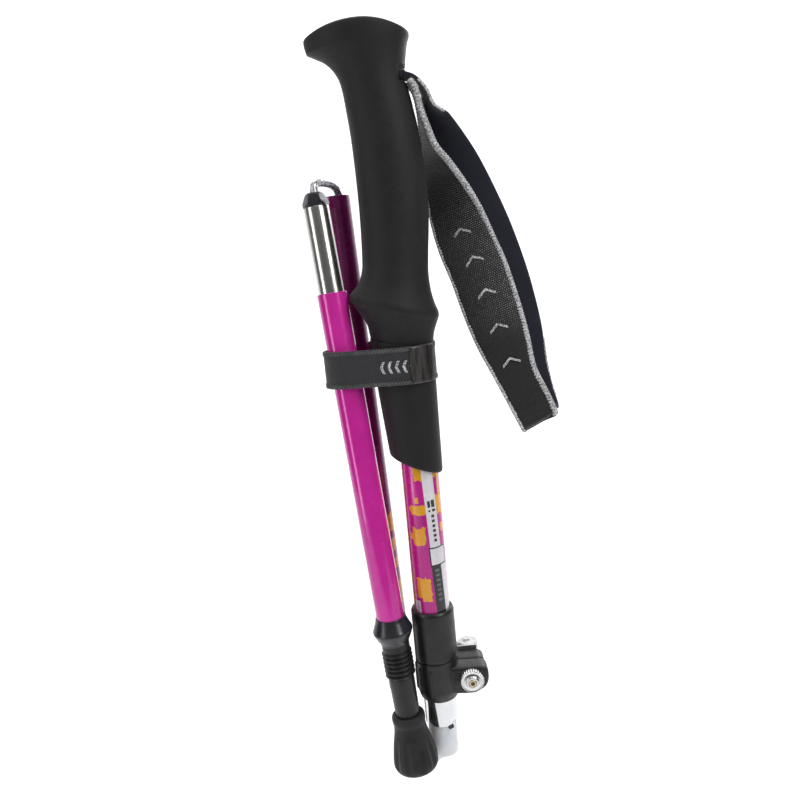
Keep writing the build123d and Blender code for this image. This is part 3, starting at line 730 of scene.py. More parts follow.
# ------------------------------------------------------------------- clamp ---
BLACK = plastic_look("black_plastic_look", (0.0085, 0.0080, 0.0072), (0.0165, 0.0158, 0.0145))
CAP_BLACK = plastic_look("cap_plastic_look", (0.010, 0.0102, 0.013), (0.021, 0.0215, 0.028), rough=0.24)
CHROME = chrome_look()
BRASS = steel_look("bolt_look", 0.62, 0.24, tint=(1.0, 0.86, 0.62))


def make_collar():
    """The collar: a plain ring above, a parting groove, and a split band below."""
    wall = UPPER_R + 0.05
    groove, level = 0.75, CLAMP_GROOVE - 1.9
    outline = [
        (wall, CLAMP_TOP), (CLAMP_R - 0.9, CLAMP_TOP, 0.5), (CLAMP_R - 0.15, CLAMP_TOP - 1.4, 0.6),
        (CLAMP_R - 0.1, level + 1.6), (CLAMP_R - 0.2, level + 0.95, 0.3),
        (CLAMP_R - groove, level + 0.85, 0.15), (CLAMP_R - groove, level + 0.05, 0.15),
        (CLAMP_R - 0.05, level, 0.3), (CLAMP_R - 0.1, CLAMP_END + 4.5, 1.2),
        (CLAMP_R - 1.2, CLAMP_END + 0.5, 1.0), (EXT_R + 1.3, CLAMP_END, 0.5), (EXT_R + 0.05, CLAMP_END),
        (EXT_R + 0.05, UPPER_END - 0.4), (wall, UPPER_END - 0.4),
    ]

    def parting(angles, r, z):
        """The groove dips towards the left of the front and rises into the ear."""
        near = np.exp(-((z - level - 0.5) / 3.0) ** 2)
        return r, z + near * (0.9 * np.cos(angles) ** 3 + 0.2 * np.cos(angles))

    return turned("collar_body", outline, BLACK, shape=parting, soft=0.4, segments=128)


def slab(name, outline, y0, y1, material, bevel=0.8):
    """A plate with a rounded rim: outline (x, z) extruded along y."""
    points = rounded(outline, 1.0, True, steps=8)
    ring = np.array(points)
    middle = ring.mean(axis=0)
    rows = []
    tangent = unit(np.roll(ring, -1, axis=0) - np.roll(ring, 1, axis=0))
    inward = np.stack([-tangent[:, 1], tangent[:, 0]], axis=1)
    inward *= np.sign(np.sum(inward * (middle - ring), axis=1).mean())
    profile = []
    for t in np.linspace(0, math.pi / 2, 5):
        profile.append((bevel * (1 - math.sin(t)), y0 + bevel * (1 - math.cos(t))))
    mirrored = [(inset, y0 + y1 - y) for inset, y in reversed(profile)]
    for inset, y in profile + mirrored:
        flat = ring + inward * inset
        rows.append(np.stack([flat[:, 0], np.full(len(flat), y), flat[:, 1]], axis=1))
    return skin(name, rows, material, sharp=30.0)


def make_ear():
    """The two lugs of the ear, the stepped pads on the front one, and four ribs down the left side."""
    reach, top, end = EAR_REACH, EAR_TOP - 3.6, EAR_END + 1.6
    lug = [(5.0, top + 0.6, 1.5), (reach, top + 0.2, 4.2), (reach, end + 4.6, 4.6),
           (reach - 7.0, end, 3.4), (5.0, end + 1.0, 1.5)]
    parts = [
        slab("ear_front", lug, -EAR_HALF, -0.15, BLACK, bevel=1.2),
        slab("ear_rear", [(x - 0.8 * (x > 9), z, soft) for x, z, soft in lug], 0.15, EAR_HALF, BLACK,
             bevel=1.2),
    ]
    for n, (inset, proud) in enumerate(((1.7, 0.5), (3.2, 1.0), (4.7, 1.5))):
        pad = [(8.0, top - 0.2 - inset, 1.2), (reach - 5.2 - inset * 0.4, top - inset, 2.0),
               (reach - inset, top - 3.4 - inset * 0.8, 3.0), (reach - inset * 1.6, top - 9.6, 1.5),
               (8.0, top - 9.6, 1.2)]
        parts.append(slab(f"ear_step_{n}", pad, -EAR_HALF - proud * 0.55, -EAR_HALF + 1.5, BLACK, bevel=0.35))
    for n in range(4):
        turn = math.pi * (0.62 + 0.2 * n)
        x = CLAMP_R * math.cos(turn)
        y = -CLAMP_R * math.sin(turn)
        parts.append(
            turned(
                f"rib_{n}",
                [(0.3, CLAMP_END + 3.5), (0.55, CLAMP_END + 4.5), (0.55, CLAMP_GROOVE - 6),
                 (0.3, CLAMP_GROOVE - 5)],
                BLACK, origin=Vector((x, y, 0)), closed=False, soft=0.2, segments=12,
            )
        )
    return parts


def make_nut():
    """The knurled nut with a brushed face and a raised middle."""
    axes = (Vector((1, 0, 0)), Vector((0, 0, -1)), Vector((0, 1, 0)))
    origin = Vector((BOLT_X, 0, BOLT_Z))
    face, back = -EAR_HALF - 3.7, -EAR_HALF - 0.3

    def knurl(angles, r, z):
        teeth = np.abs(np.sin(angles * 17)) ** 0.7
        return np.where(r > 5.6, r - 0.42 * teeth, r), z

    outline = [(2.06, face - 1.0), (3.1, face - 1.0, 0.3), (3.4, face - 0.1, 0.2), (4.6, face + 0.25, 0.3),
               (5.75, face + 0.05, 0.3), (6.2, face + 0.5, 0.25), (6.2, back - 0.5, 0.25), (5.75, back, 0.2),
               (2.06, back)]
    steel = steel_look("nut_look", 0.72, 0.22, axes, origin, grain=0.02)
    return turned("clamp_nut_look", outline, steel, origin, axes, shape=knurl, soft=0.2, segments=340)


def make_bolt_head():
    """The socket head of the bolt in the middle of the nut."""
    axes = (Vector((1, 0, 0)), Vector((0, 0, -1)), Vector((0, 1, 0)))
    front = -(EAR_HALF + 3.4 + 1.5)

    def hexagon(angles, r, z):
        flat = hexagonal(angles)
        return np.where(r < 1.5, r * flat, r), z

    outline = [(0.05, front + 1.6), (1.2, front + 1.6, 0.05), (1.2, front, 0.08), (1.75, front, 0.2),
               (2.0, front + 0.3, 0.15), (2.0, LEVER_Y - 2.2)]
    return turned("clamp_bolt_look", outline, BRASS, Vector((BOLT_X, 0, BOLT_Z)), axes, closed=False,
                  shape=hexagon, soft=0.1, segments=72)


def make_lever():
    """The pale cam lever: a barrel on its pin and an arm round the back of the collar."""
    grey = lining_look("lever_look", (0.66, 0.67, 0.69), (0.78, 0.79, 0.80), rough=0.3)
    bore, outer, reach, gap = 1.0, 5.2, 8.2, 2.8
    high = BOLT_Z + reach
    barrels = []
    for side in (1, -1):
        far, near = BOLT_Z + side * reach, BOLT_Z + side * gap
        barrels.append(turned("barrel", [(bore, far), (outer, far, 0.9), (outer, near), (bore, near)], grey,
                              Vector((BOLT_X + 1.0, LEVER_Y, 0)), soft=0.3, segments=64))
    middle = CLAMP_R + 2.5
    start = math.atan2(LEVER_Y - 1.0, BOLT_X - 2.2)
    stop = math.acos(-5.2 / middle)
    stations = []
    for t in np.linspace(0, 1, 14):
        a = start + (stop - start) * t
        radius = math.hypot(LEVER_Y - 1.0, BOLT_X - 2.2) * (1 - t) ** 2 + middle * (1 - (1 - t) ** 2)
        flare = 1.0 * max(0.0, t - 0.75) / 0.25
        stations.append((radius * math.cos(a), radius * math.sin(a) + flare, BOLT_Z, 0, 0, 1, 16.0 - 3.5 * t,
                         2.5))
    arm = ribbon("arm", stations, grey, steps=4, corner=0.35)
    mark = turned("mark", [(0.05, high + 0.1), (1.1, high + 0.1, 0.1), (1.1, high - 0.4)], BLACK,
                  Vector((BOLT_X, LEVER_Y, 0)), closed=False, segments=32)
    return joined("clamp_lever_look", [*barrels, arm, mark])


# ------------------------------------------------------------------ straps ---
def strap_frames(stations, steps):
    """Centres, running, width and normal directions, widths and thicknesses along a strap."""
    rows = smooth_rows(stations, steps)
    centres = rows[:, :3]
    run = unit(np.gradient(centres, axis=0))
    wide = rows[:, 3:6]
    wide = unit(wide - run * np.sum(wide * run, axis=1, keepdims=True))
    return centres, run, wide, np.cross(run, wide), rows[:, 6], rows[:, 7]


def ribbon(name, stations, material, steps=10, corner=0.45, around=56, crown_of=None, ruffle=None):
    """A flat strap through stations (centre, width direction, width, thickness), with soft edges."""
    centres, _, wide, normal, widths, thicks = strap_frames(stations, steps)
    angles = turns(around)
    x = power(np.cos(angles), 0.32)
    y = power(np.sin(angles), corner)
    gone = run_length(centres)
    rows, uv = [], []
    for i, centre in enumerate(centres):
        lift = y * thicks[i] / 2
        if crown_of:
            lift = lift * crown_of(x, gone[i] / gone[-1])
        if ruffle:
            lift = lift + ruffle(x, gone[i])
        rows.append(centre + np.outer(x * widths[i] / 2, wide[i]) + np.outer(lift, normal[i]))
        uv.append([(u * widths[i] / 2, gone[i]) for u in (*x, x[0])])
    return skin(name, rows, material, uv=uv, sharp=60.0)


DEPTH = (0.0, 1.0, 0.0)
ACROSS = (-0.94, 0.0, -0.34)
WEB = weave_look("webbing_look", (0.0095, 0.0105, 0.019), (0.021, 0.023, 0.036), pitch=0.8, depth=0.10)
SILVER = braid_look()

WEBBING_STATIONS = [
    (8.4, 0, 48.6, *DEPTH, 15.4, 1.6),
    (12.6, 0, 46.6, *DEPTH, 15.6, 1.6),
    (16.8, 1.0, 42.0, *DEPTH, 16.4, 1.7),
    (18.6, 3.0, 36.4, -0.15, 0.98, -0.15, 17.0, 1.7),
    (21.2, 6.5, 30.8, -0.44, 0.82, -0.37, 18.0, 1.7),
    (25.8, 13.0, 20.2, -0.75, 0.47, -0.46, 20.0, 1.7),
    (33.4, 18.0, 6.8, -0.87, 0.17, -0.46, 20.5, 1.7),
    (42.6, 22.0, -13.5, -0.93, 0.0, -0.37, 21.0, 1.7),
    (49.4, 23.0, -33.0, -0.96, 0.0, -0.28, 21.0, 1.7),
    (54.2, 22.5, -52.0, -0.98, 0.0, -0.2, 21.0, 1.7),
    (57.2, 21.0, -70.0, -0.99, 0.0, -0.1, 21.0, 1.7),
    (58.4, 18.0, -88.0, -0.99, 0.0, -0.1, 20.5, 1.8),
    (60.4, 14.8, -102.0, -0.96, 0.0, -0.25, 20.0, 2.0),
    (61.8, 11.4, -108.6, -0.93, 0.0, -0.36, 20.0, 2.1),
    (61.6, 8.2, -111.4, -0.92, 0.0, -0.38, 19.5, 2.1),
    (60.6, 5.2, -111.0, -0.92, 0.0, -0.38, 18.0, 2.1),
]
PAD_STATIONS = [
    (9.8, 0.0, 45.9, *DEPTH, 14.6, 1.4),
    (12.4, 0.4, 42.2, *DEPTH, 15.4, 1.6),
    (14.0, 1.4, 34.4, *DEPTH, 16.4, 1.8),
    (15.6, 3.0, 26.5, -0.09, 0.99, -0.05, 18.0, 2.0),
    (17.4, 5.0, 19.0, -0.17, 0.97, -0.10, 19.5, 2.2),
    (20.4, 8.0, 10.6, -0.38, 0.89, -0.24, 21.5, 2.6),
    (24.6, 11.2, -2.6, -0.67, 0.64, -0.38, 23.5, 3.2),
    (28.2, 13.0, -14.4, -0.86, 0.31, -0.40, 25.0, 3.8),
    (32.2, 13.2, -27.0, -0.93, 0.03, -0.37, 26.5, 4.2),
    (37.0, 11.6, -41.1, *ACROSS, 27.0, 4.2),
    (41.4, 9.4, -58.0, *ACROSS, 26.6, 4.2),
    (45.6, 7.6, -73.4, *ACROSS, 24.6, 3.8),
    (50.6, 5.4, -90.5, -0.92, 0.0, -0.38, 19.6, 3.0),
    (56.2, 2.8, -104.2, -0.91, 0.0, -0.41, 19.0, 2.8),
    (59.4, 1.4, -112.2, -0.90, 0.0, -0.43, 18.6, 2.8),
    (60.8, 3.6, -114.8, -0.90, 0.0, -0.43, 18.0, 2.8),
    (61.8, 7.2, -113.6, -0.90, 0.0, -0.43, 15.5, 2.4),
]


def plait(angles, gone):
    """The swelling and crossing of a plaited cord."""
    turn = gone * 2 * math.pi / 3.0
    return 0.86 + 0.34 * np.abs(np.sin(angles + turn)) + 0.06 * math.sin(2 * turn)


def edge_path(stations, side, steps, inset=0.0, first=0.0, last=1.0):
    """The line along one edge of a strap."""
    centres, _, wide, _, widths, _ = strap_frames(stations, steps)
    path = centres + wide * (side * (widths / 2 - inset))[:, None]
    count = len(path)
    return path[int(first * count) : int(last * count)]


def make_webbing():
    """The back layer of the loop, with its thin reflective edges."""

    def pucker(x, gone):
        return 0.18 * np.sin(gone * 0.23 + 2.0 * x) * (np.abs(x) > 0.2)

    strap = ribbon("strap_webbing_look", WEBBING_STATIONS, WEB, steps=14, ruffle=pucker)
    edges = [
        tube_along(f"web_edge_{n}", edge_path(WEBBING_STATIONS, -1, 40, 0.1, *span), 0.62, SILVER,
                   braid=lambda a, g: 1 + 0.16 * math.sin(g * 2.6), around=10)
        for n, span in enumerate(((0.08, 0.235), (0.69, 0.84)))
    ]
    return strap, edges


def make_pad():
    """The padded front layer: mesh face, crinkled webbing below, and plaited piping."""

    def padding(x, t):
        swell = math.sin(math.pi * min(1.0, max(0.0, (t - 0.12) / 0.78)))
        return 0.55 + 0.45 * (1 - np.abs(x) ** 2.4) * (0.35 + 0.65 * swell)

    def crinkle(x, gone):
        low = max(0.0, (gone - 128) / 30)
        fold = math.sin(gone * 1.25) + 0.6 * math.sin(gone * 2.1 + 1.0)
        return 0.22 * min(1.0, low) * fold * (1 - 0.5 * x * x) + 0.10 * math.sin(gone * 0.6)

    pad = ribbon("strap_pad_look", PAD_STATIONS, mesh_look(), steps=22, corner=0.6, crown_of=padding,
                 ruffle=crinkle)
    piping = [
        tube_along(f"piping_{n}", edge_path(PAD_STATIONS, side, 60, 0.4, 0.0, 0.95),
                   1.3 if side < 0 else 0.85, SILVER,
                   braid=plait, around=24)
        for n, side in enumerate((-1, 1))
    ]
    return pad, piping


def make_chevrons(stations, count, first, last, width, arm, material, lift):
    """A row of plain printed chevrons along a strap: generic, in place of lettering."""
    centres, run, wide, normal = strap_frames(stations, 30)[:4]
    stroke, raised = 1.3, 0.16
    facing = -np.sign(normal[:, 1:2])
    parts = []
    for n in range(count):
        i = int((first + (last - first) * n / (count - 1)) * (len(centres) - 1))
        face = normal[i] * facing[i]
        base = centres[i] + face * lift
        faces, points = [], []
        for side in (-1, 1):
            corners = [(0, 0), (side * width / 2, arm), (side * width / 2, arm + stroke), (0, stroke)]
            start = len(points)
            for level in (0.0, raised):
                for u, v in corners:
                    points.append(base + wide[i] * u + run[i] * v + face * (level - 0.35 * (u / width) ** 2))
            quads = [(0, 1, 2, 3), (4, 5, 6, 7), (0, 1, 5, 4), (1, 2, 6, 5), (2, 3, 7, 6), (3, 0, 4, 7)]
            faces += [tuple(start + k for k in quad) for quad in quads]
        parts.append(new_object(f"chevron_{n}", points, faces, material, sharp=30.0))
    return parts


# ------------------------------------------------------------ bundle strap ---
def centre_at(top, down, z):
    t = (z - top.z) / down.z
    return top + down * t


def hull(points):
    """The convex outline of flat points, anticlockwise."""
    points = sorted(map(tuple, points))

    def half(sequence):
        line = []
        for p in sequence:
            while len(line) > 1 and (
                (line[-1][0] - line[-2][0]) * (p[1] - line[-2][1])
                - (line[-1][1] - line[-2][1]) * (p[0] - line[-2][0]) <= 0
            ):
                line.pop()
            line.append(p)
        return line[:-1]

    return np.array(half(points) + half(reversed(points)))


def band_path(extra, count):
    """Evenly spaced points of the strap's line round the foam and both folded sections."""
    middle = BAND_TOP - BAND_WIDTH / 2
    tip, mid = centre_at(TIP_TOP, TIP_DOWN, middle), centre_at(MID_TOP, MID_DOWN, middle)
    angles = turns(180)
    circle = np.stack([np.cos(angles), np.sin(angles)], axis=1)
    rings = [((tip.x, tip.y), SECTION_R), ((mid.x, mid.y), SECTION_R), ((-3.3, 0.0), 12.9)]
    outline = hull(np.vstack([np.array(centre) + circle * (r + extra) for centre, r in rings]))
    return evenly(np.vstack([outline, outline[:1]]), count, closed=True)


def make_band():
    """The hook-and-loop strap in two pieces: round the foam, and round the folded sections."""
    cloth = weave_look("hook_loop_look", (0.014, 0.014, 0.0155), (0.052, 0.052, 0.056), pitch=1.15, depth=0.2,
                       twill=0.9, sheen=0.3)
    stitch = lining_look("stitch_look", (0.09, 0.09, 0.095), (0.17, 0.17, 0.175), rough=0.75)
    gloss = Look("hook_patch_look", coat=0.6, coat_rough=0.15, specular=0.6)
    # The brownish vertical streaks mixed into the patch colour are a painted reflection on the glossy hook
    # backing; the same streaks also vary its roughness.
    reflection_streaks = gloss.noise(1.0, 3, gloss.vector("MULTIPLY", gloss.place(), (420.0, 420.0, 60.0)))
    gloss.give(color=gloss.mix(gloss.between(reflection_streaks, 0.35, 0.7), (0.012, 0.0115, 0.012),
                               (0.045, 0.038, 0.034)))
    gloss.give(rough=gloss.between(reflection_streaks, 0.3, 0.7, 0.22, 0.42))
    gloss.bump(gloss.cells(1300), 0.12, 0.6)
    path = band_path(1.8, 360)
    middle = BAND_TOP - BAND_WIDTH / 2
    split_x, thickness = -17.5, 1.7

    def lengths(points, name, material, width, thick):
        stations = [(x, y, middle, 0, 0, 1, width, thick) for x, y in points]
        return ribbon(name, stations, material, steps=1, corner=0.5, around=40)

    start = int(np.argmin(np.where(path[:, 1] < 0, np.abs(path[:, 0] - split_x), 1e9)))
    path = np.roll(path, -start, axis=0)
    inner = np.flatnonzero(path[:, 0] > split_x)
    right = path[: inner[-1] + 2]
    left = np.vstack([path[inner[-1] + 1 :], path[:1]])
    pieces = {"handle": [lengths(right, "band_right", cloth, BAND_WIDTH, thickness)],
              "fold": [lengths(left, "band_left", cloth, BAND_WIDTH, thickness)]}
    over = band_path(2.9, 360)
    front = over[(over[:, 1] < 0)]
    front = front[np.argsort(front[:, 0])]
    flap = front[(front[:, 0] > -0.5) & (front[:, 0] < 10.6)]
    pieces["handle"].append(lengths(flap, "hook_patch", gloss.material, BAND_WIDTH - 0.6, 0.5))
    spread = band_path(2.7, 720)
    spread = spread[(spread[:, 1] < 0) & (spread[:, 0] > split_x + 1.5) & (spread[:, 0] < 8.0)]
    spread = spread[np.argsort(spread[:, 0])]
    label = [(x, y, middle, 0, 0, 1, BAND_WIDTH, thickness) for x, y in spread[::6]]
    pieces["handle"] += make_chevrons(label, 7, 0.06, 0.92, 5.6, 1.2, SILVER, 0.05)
    for side in ("handle", "fold"):
        for edge, height in enumerate((-1, 1)):
            line = band_path(2.75, 900)
            keep = line[line[:, 0] > split_x] if side == "handle" else line[line[:, 0] <= split_x]
            inset = BAND_WIDTH / 2 - 1.3
            marks = [(x, y, middle + height * (inset + 0.3 * (n % 2))) for n, (x, y) in enumerate(keep[::4])]
            pieces[side].append(stitches(f"stitch_{side}_{edge}", marks, stitch, height))
    return joined("bundle_strap_right_look", pieces["handle"]), joined("bundle_strap_left_look",
                                                                       pieces["fold"])


def stitches(name, places, material, lean):
    """Overlock stitches: short slanting threads lying over a strap's edge."""
    length, thick = 1.9, 0.2
    points, faces = [], []
    for x, y, z in places:
        out = unit(np.array([x + 12.0, y - 2.0, 0.0]))
        side = np.array([-out[1], out[0], 0.0])
        for t in np.linspace(-1, 1, 5):
            lift = 0.10 * (1 - t * t)
            centre = np.array([x, y, z]) + np.array([0, 0, 1.0]) * lean * t * length / 2
            centre = centre + side * t * 0.45 + out * lift
            for a in range(6):
                turn = a * math.pi / 3
                r = thick * (1 - 0.5 * abs(t) ** 3)
                points.append(centre + side * r * math.cos(turn) + out * r * 0.8 * math.sin(turn))
        start = len(points) - 30
        for ring in range(4):
            for a in range(6):
                b = (a + 1) % 6
                row = start + ring * 6
                faces.append((row + a, row + b, row + 6 + b, row + 6 + a))
        faces.append(tuple(range(start, start + 6)))
        faces.append(tuple(range(start + 24, start + 30)))
    return new_object(name, points, faces, material, sharp=80.0)


# ---------------------------------------------------------- tubes and ends ---
def tube_piece(name, radius, bore, low, high, material, origin=Vector(), axes=UPRIGHT):
    """A straight tube with broken edges."""
    span = high - low
    outline = [(bore, high), (radius, high)]
    outline += [(radius, high - span * share, 0.01) for share in (0.03, 0.97)]
    outline += [(radius, low), (bore, low)]
    return turned(name, outline, material, origin, axes, soft=0.3)


def make_cap(name, end, sign, origin, axes):
    """The faceted plastic nose on a joint sleeve, with its cable hole."""

    def facets(angles, r, z):
        share = np.clip((sign * (z - end)) / CAP_LENGTH, 0, 1)
        flat = hexagonal(angles)
        amount = np.where(r > CABLE_HOLE_R + 0.4, np.sin(np.pi * share) ** 0.6, 0.0)
        return r * (1 + amount * (flat * 1.03 - 1)), z

    tip = end + sign * CAP_LENGTH
    outline = [
        (CABLE_HOLE_R, end), (CABLE_HOLE_R, tip, 0.5), (3.7, tip, 0.5), (4.5, tip - sign * 1.0, 0.5),
        (5.95, end + sign * 2.2, 0.5), (JOINT_R + 0.1, end + sign * 1.0, 0.3),
        (JOINT_R + 0.1, end + sign * 0.02, 0.2),
    ]
    return turned(name, outline, CAP_BLACK, origin, axes, shape=facets, soft=0.3, segments=120)


def make_ferrule():
    """The chromed ring with a notched lower edge."""

    def notched(angles, r, z):
        offset = np.abs(angles % (math.pi / 2) - math.pi / 4) * FERRULE_R
        rise = np.clip((1.75 - offset) / 0.4, 0, 1)
        near = np.clip((FERRULE_END + 2.4 - z) / 2.4, 0, 1)
        return r, z + rise * 1.9 * near

    outline = [
        (EXT_R + 0.02, FERRULE_END), (EXT_R + 0.02, FERRULE_TOP), (FERRULE_R, FERRULE_TOP, 0.35),
        (FERRULE_R, FERRULE_END + 2.6, 0.01), (FERRULE_R, FERRULE_END, 0.25),
    ]
    return turned("ferrule_look", outline, CHROME, shape=notched, soft=0.2, segments=360)


def make_socket():
    """The white nylon socket: a hollow peg with a softened mouth."""
    white = Look("white_nylon_look", skin=0.12, specular=0.45)
    tone = white.noise(150, 4)
    white.give(color=white.mix(white.between(tone, 0.3, 0.7), (0.80, 0.80, 0.83), (0.90, 0.90, 0.92)))
    white.give(rough=white.between(tone, 0.3, 0.7, 0.30, 0.42))
    white.bump(white.noise(900, 2), 0.03, 0.5)
    outline = [
        (JOINT_R + 0.05, EXT_END + 8.0), (SOCKET_R - 0.12, EXT_END + 8.0),
        (SOCKET_R - 0.12, EXT_END + 1.0, 0.2),
        (SOCKET_R, EXT_END - 0.6, 0.2), (SOCKET_R, SOCKET_END + 1.5, 0.05), (SOCKET_R, SOCKET_END, 0.7),
        (JOINT_R + 0.8, SOCKET_END, 0.3), (JOINT_R + 0.05, SOCKET_END + 1.3, 0.2),
    ]
    return turned("socket_sleeve_look", outline, white.material, soft=0.3)


def make_ring():
    """The flared collar over the end of the tip tube."""
    outline = [
        (SECTION_R + 0.03, TIP_TUBE_END), (SECTION_R + 0.03, TIP_TUBE_END + 1.1),
        (SECTION_R + 0.5, TIP_TUBE_END + 1.2, 0.3),
        (SECTION_R + 0.9, TIP_TUBE_END - 0.6, 0.8), (9.5, RING_END + 4.4, 0.8), (10.0, RING_END + 3.3, 0.5),
        (9.9, RING_END + 2.3, 0.5), (8.7, RING_END - 0.4, 1.2), (7.5, RING_END - 2.5, 1.2),
        (7.05, RING_END - 4.0, 0.3),
        (6.3, RING_END - 4.0),
    ]
    return turned("tip_ring_look", outline, CAP_BLACK, TIP_TOP, TIP_AXES, soft=0.3)


def make_stem():
    """The moulded tip: a neck, six sharp threads and a tapering shaft."""
    outline = [(4.0, RING_END + 2.0), (6.2, RING_END + 2.0), (6.9, RING_END - 0.3, 0.2),
               (6.9, NECK_END + 0.4, 0.3)]
    for n in range(RIB_COUNT):
        z = NECK_END - RIB_PITCH * (n + 0.5)
        outline += [(6.25, z + 0.98, 0.2), (7.6, z + 0.16, 0.1), (7.6, z - 0.12, 0.1), (6.25, z - 0.98, 0.2)]
    outline += [(6.5, RIB_END - 0.3, 0.2), (6.5, RIB_END - 3.0, 0.3), (6.15, FOOT_TOP, 0.1), (5.8, STEM_END),
                (3.0, STEM_END)]
    return turned("tip_stem_look", outline, BLACK, TIP_TOP, TIP_AXES, closed=False, soft=0.2)


def make_foot():
    """The rubber foot: a thick rim, a slight waist, then ten shallow flutes down to a smooth rounded sole."""

    def flutes(angles, r, z):
        down = np.clip((FOOT_TOP - 11.0 - z) / 7.0, 0, 1) * np.clip((z - FOOT_END - 1.6) / 3.0, 0, 1)
        outer = np.clip((r - 6.6) / 2.0, 0, 1)
        wave = np.clip(np.cos(10 * angles), -0.25, 1.0)
        return r - outer * down * 0.6 * (wave + 0.25), z

    outline = [
        (6.25, FOOT_TOP), (7.6, FOOT_TOP, 0.8), (8.45, FOOT_TOP - 0.9, 0.9), (8.5, FOOT_TOP - 3.4, 0.9),
        (8.05, FOOT_TOP - 5.2, 0.8), (8.4, FOOT_TOP - 9.0, 1.5), (9.7, FOOT_TOP - 14.0, 3.0),
        (10.6, FOOT_TOP - 18.0, 2.0),
        (11.3, FOOT_TOP - 22.0, 2.0), (11.6, FOOT_END + 5.0, 1.2), (11.5, FOOT_END + 3.0, 1.4),
        (10.7, FOOT_END + 1.0, 1.2),
        (9.2, FOOT_END, 0.8), (4.3, FOOT_END + 0.3, 0.3), (4.1, FOOT_END + 2.5, 0.3), (5.9, STEM_END, 0.2),
    ]
    return turned("rubber_foot_look", outline, rubber_look(), TIP_TOP, TIP_AXES, shape=flutes, soft=0.4,
                  segments=240, sharp=60.0)


# ------------------------------------------------------------- cable loops ---
def nurbs_path(points):
    """Points along the smooth curve that the route's points control."""
    curve = bpy.data.curves.new("route", "CURVE")
    curve.dimensions = "3D"
    curve.resolution_u = 24
    spline = curve.splines.new("NURBS")
    spline.points.add(len(points) - 1)
    for control, point in zip(spline.points, points):
        control.co = (*point, 1.0)
    spline.order_u = 3
    spline.use_endpoint_u = True
    holder = bpy.data.objects.new("route", curve)
    bpy.context.collection.objects.link(holder)
    mesh = bpy.data.meshes.new_from_object(holder)
    line = np.array([list(v.co) for v in mesh.vertices])
    bpy.data.objects.remove(holder)
    bpy.data.meshes.remove(mesh)
    return evenly(line, 160)


def strands(angles, gone):
    """Seven strands laid up with a long twist under a clear coat."""
    return 1 - 0.07 * np.abs(np.sin(3.5 * (angles + gone * 2 * math.pi / 24.0)))


def make_upper_loop():
    rise = 5.5
    across = MID_TOP - TIP_TOP
    wall = Vector((2.3, 0.0, 0.0))
    route = [
        TIP_TOP + TIP_DOWN * 45, TIP_TOP + TIP_DOWN * 12, TIP_TOP + TIP_DOWN * 0.5,
        TIP_TOP - TIP_DOWN * rise + across * 0.12, MID_TOP - MID_DOWN * rise - across * 0.12 + wall * 0.8,
        MID_TOP + MID_DOWN * 0.5 + wall, MID_TOP + MID_DOWN * 8.0 + wall,
    ]
    return tube_along("upper_loop_look", nurbs_path(route), CABLE_R - 0.05, cable_look(), braid=strands,
                      around=42)


def make_lower_loop():
    tip = MID_CAP_END
    route = [
        Vector((0, 0, SOCKET_END + 22)), Vector((0, 0, SOCKET_END + 6)), Vector((0, 0, SOCKET_END - 2.5)),
        Vector((tip.x * 0.25, tip.y * 0.25, SOCKET_END - 7.0)),
        Vector((tip.x * 0.62, tip.y * 0.62, tip.z - 3.4)), tip + MID_DOWN * 4.6, tip - MID_DOWN * 1.0,
        tip - MID_DOWN * 20, tip - MID_DOWN * 45,
    ]
    return tube_along("lower_loop_look", nurbs_path(route), CABLE_R - 0.05, cable_look(), braid=strands,
                      around=42)


# ---------------------------------------------------------------- assembly ---
def dress_frame():
    """Gives every frame node that stays visible a finished material of its own."""
    looks = {
        "grip_core": BLACK, "strap_wedge": BLACK, "guide_bushing": BLACK, "locating_key": BLACK,
        "strap_pin": steel_look("pin_look", 0.62, 0.28),
        "lever_pin": steel_look("lever_pin_look", 0.62, 0.28),
        "wear_plate": steel_look("plate_look", 0.6, 0.3), "cable_crimp": steel_look("crimp_look", 0.6, 0.3),
        "tip_crimp": steel_look("tip_crimp_look", 0.6, 0.3),
        "tension_spring": steel_look("spring_look", 0.55, 0.25),
        "tip_bit": steel_look("carbide_look", 0.38, 0.36, TIP_AXES, TIP_TOP),
        "extension_tube": aluminium_look(), "spring_seat": aluminium_look(),
        "cable_anchor": lining_look("anchor_look", (0.78, 0.78, 0.80), (0.86, 0.86, 0.88)),
        "mid_cable_guide": lining_look("guide_look", (0.78, 0.78, 0.80), (0.86, 0.86, 0.88)),
        "upper_cable": cable_look(), "mid_cable": cable_look(), "tip_cable": cable_look(),
    }
    for name, material in looks.items():
        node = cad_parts[name]
        for held in node.material_slots:
            held.material = material


